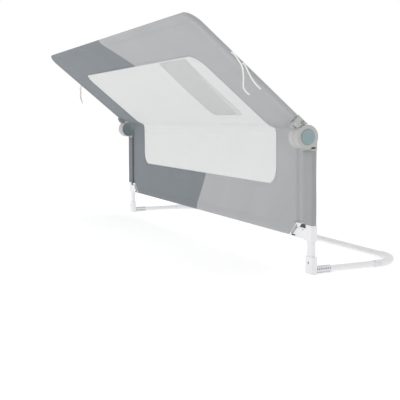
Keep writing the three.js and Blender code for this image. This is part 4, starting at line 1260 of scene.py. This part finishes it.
class RAIL_OT_posts(bpy.types.Operator):
    """Adds the corner brackets, catches, legs, feet and the tubes inside the cloth"""
    bl_idname = "rail.add_posts"
    bl_label = "Add Posts"

    def execute(self, context):
        plastic, metal = context.scene.rail_plastic, context.scene.rail_metal
        white = moulded("white_plastic", plastic.white, roughness=0.42)
        dark = moulded("catch_plastic", plastic.dark, roughness=0.55)
        # Painted shade for the brackets' recesses and the sides of their ribs
        shadow = moulded("recess_painted_shade", plastic.slot, roughness=0.7)
        paint = painted("leg_paint", metal.paint, roughness=0.35)
        tube = bare_metal("frame_tube", metal.aluminium, roughness=0.4)
        steel = bare_metal("screw_steel", metal.steel, roughness=0.35)
        for end in ("left", "right"):
            for node_name, material, slot, edge in (
                    ("corner_bracket", white, "white_plastic", BRACKET_EDGE),
                    ("foot", white, "white_plastic", FOOT_EDGE),
                    ("leg", paint, "white_steel_tube", TUBE_EDGE)):
                name = f"{node_name}_{end}"
                bm = copy_of(name)
                if node_name == "corner_bracket":
                    self.shade_recesses(bm)
                piece = finished(name + "_body", bm, material, "base", [name])
                piece.data.materials.append(shadow)
                round_edges(piece, edge)
            dress("post_catch_" + end, dark)
            for name in ("post_tube", "upper_tube"):
                dress(f"{name}_{end}", tube)
            for name in ("bracket_screw", "foot_screw"):
                dress(f"{name}_{end}", steel)
        for name in ("upper_tube_middle", "lower_tube"):
            dress(name, tube)
        return {"FINISHED"}

    def shade_recesses(self, bm):
        """Paints shade on the notch, the screw's recess and the sides of the ribs on the front of a bracket.
        """
        front = min(vert.co.y for vert in bm.verts) + RIB_PROUD
        for face in bm.faces:
            centre = face.calc_center_median()
            x = abs(centre.x)
            recess = front + RECESS_START < centre.y < front + RECESS_DEPTH and x < CATCH_X
            rib = centre.y < front - RIB_START and abs(face.normal.y) < 0.5
            if recess or rib:
                face.material_index = 1


class RAIL_OT_base(bpy.types.Operator):
    """Adds the flat base: arms, ribbed grips, bent corners, their buttons and the rear bar"""
    bl_idname = "rail.add_base"
    bl_label = "Add Base"

    def execute(self, context):
        plastic, metal = context.scene.rail_plastic, context.scene.rail_metal
        white = moulded("corner_plastic", plastic.white, roughness=0.42)
        grip = moulded("grip_rubber", plastic.grip, roughness=0.75, grain=GRIP_GRAIN)
        # Painted shade for the floors of the grips' slots
        gap = moulded("grip_slot_painted_shade", plastic.slot, roughness=0.8, grain=GRIP_GRAIN)
        button = moulded("corner_button_plastic", plastic.grip, roughness=0.5)
        paint = painted("base_paint", metal.paint, roughness=0.35)
        for end in ("left", "right"):
            for node_name, material, slot in (
                    ("base_arm", paint, "white_steel_tube"), ("base_corner", white, "white_plastic"),
                    ("corner_button", button, "hinge_plastic")):
                name = f"{node_name}_{end}"
                piece = finished(name + "_body", copy_of(name), material, "base", [name])
                round_edges(piece, TUBE_EDGE)
            self.add_grip(end, grip, gap)
        bar = copy_of("base_rear_bar")
        piece = finished("base_rear_bar_body", bar, paint, "base", ["base_rear_bar"])
        round_edges(piece, TUBE_EDGE)
        return {"FINISHED"}

    def add_grip(self, end, grip, gap):
        """A sleeve of soft plastic with rows of short slots round it."""
        name = "base_grip_" + end
        low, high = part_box(name)
        middle = Vector(((low.x + high.x) / 2, 0, (low.z + high.z) / 2))
        reach = (high.x - low.x) / 2
        steps = 2 * GRIP_SLOTS + 1
        pitch = (high.y - low.y) / steps
        bm = bmesh.new()
        wall = [self.ring(bm, middle, reach, low.y + pitch * i) for i in range(steps + 1)]
        self.join(bm, wall)
        self.sink(bm, [face for face in bm.faces if self.in_slot(face, middle, low.y, pitch)], middle)
        bore = [self.ring(bm, middle, GRIP_BORE, depth) for depth in (high.y, low.y)]
        self.join(bm, [wall[-1], *bore, wall[0]])
        bmesh.ops.recalc_face_normals(bm, faces=bm.faces)
        piece = finished(name + "_sleeve", bm, grip, "base", [name])
        piece.data.materials.append(gap)
        round_edges(piece, TUBE_EDGE)

    def ring(self, bm, middle, radius, depth):
        """A ring of points round the grip's middle line."""
        ring = bmesh.ops.create_circle(bm, segments=GRIP_SIDES, radius=radius)["verts"]
        bmesh.ops.rotate(bm, verts=ring, matrix=Matrix.Rotation(math.radians(90), 3, "X"))
        bmesh.ops.translate(bm, verts=ring, vec=middle + Vector((0, depth, 0)))
        return ring

    def join(self, bm, rings):
        """Lays faces between each ring and the next."""
        for ring, ahead in zip(rings, rings[1:]):
            for i in range(GRIP_SIDES):
                bm.faces.new((ring[i - 1], ring[i], ahead[i], ahead[i - 1]))

    def sink(self, bm, faces, middle):
        """Sinks slots where the faces are, their floors in painted shade."""
        sunk = {}
        for vert in (vert for face in faces for vert in face.verts):
            if vert not in sunk:
                outward = Vector((vert.co.x - middle.x, 0, vert.co.z - middle.z)).normalized()
                sunk[vert] = bm.verts.new(vert.co - outward * GRIP_SLOT_DEPTH)
        rims = [edge for face in faces for edge in face.edges if not set(edge.link_faces) <= set(faces)]
        for face in faces:
            bm.faces.new([sunk[vert] for vert in face.verts]).material_index = 1
        for start, end in (edge.verts for edge in rims):
            bm.faces.new((start, end, sunk[end], sunk[start]))
        bmesh.ops.delete(bm, geom=faces, context="FACES")

    def in_slot(self, face, middle, start, pitch):
        centre = face.calc_center_median()
        step = int((centre.y - start) / pitch)
        turn = math.degrees(math.atan2(centre.z - middle.z, abs(centre.x) - abs(middle.x)))
        off = (turn - SLOT_FIRST + SLOT_TURN / 2) % SLOT_TURN - SLOT_TURN / 2
        return step % 2 == 1 and abs(off) < SLOT_HALF


OPERATORS = (
    RAIL_OT_stage, RAIL_OT_cords, RAIL_OT_covers, RAIL_OT_window, RAIL_OT_hinges, RAIL_OT_posts, RAIL_OT_base)
SETTINGS = {
    "rail_cloth": ClothSettings,
    "rail_plastic": PlasticSettings,
    "rail_metal": MetalSettings,
    "rail_stage": StageSettings,
}


class RAIL_PT_panel(bpy.types.Panel):
    """Lists the steps that dress the guard rail"""
    bl_idname = "RAIL_PT_panel"
    bl_label = "Guard Rail"
    bl_space_type = "VIEW_3D"
    bl_region_type = "UI"
    bl_category = "Guard Rail"

    def draw(self, context):
        for operator in OPERATORS:
            self.layout.operator(operator.bl_idname)


def register():
    for group in (*SETTINGS.values(), *OPERATORS, RAIL_PT_panel):
        bpy.utils.register_class(group)
    for name, group in SETTINGS.items():
        setattr(bpy.types.Scene, name, PointerProperty(type=group))


def unregister():
    for name in SETTINGS:
        delattr(bpy.types.Scene, name)
    for group in reversed((*SETTINGS.values(), *OPERATORS, RAIL_PT_panel)):
        bpy.utils.unregister_class(group)


def main():
    register()
    for operator in OPERATORS:
        group, name = operator.bl_idname.split(".")
        getattr(getattr(bpy.ops, group), name)()


if __name__ == "__main__":
    main()
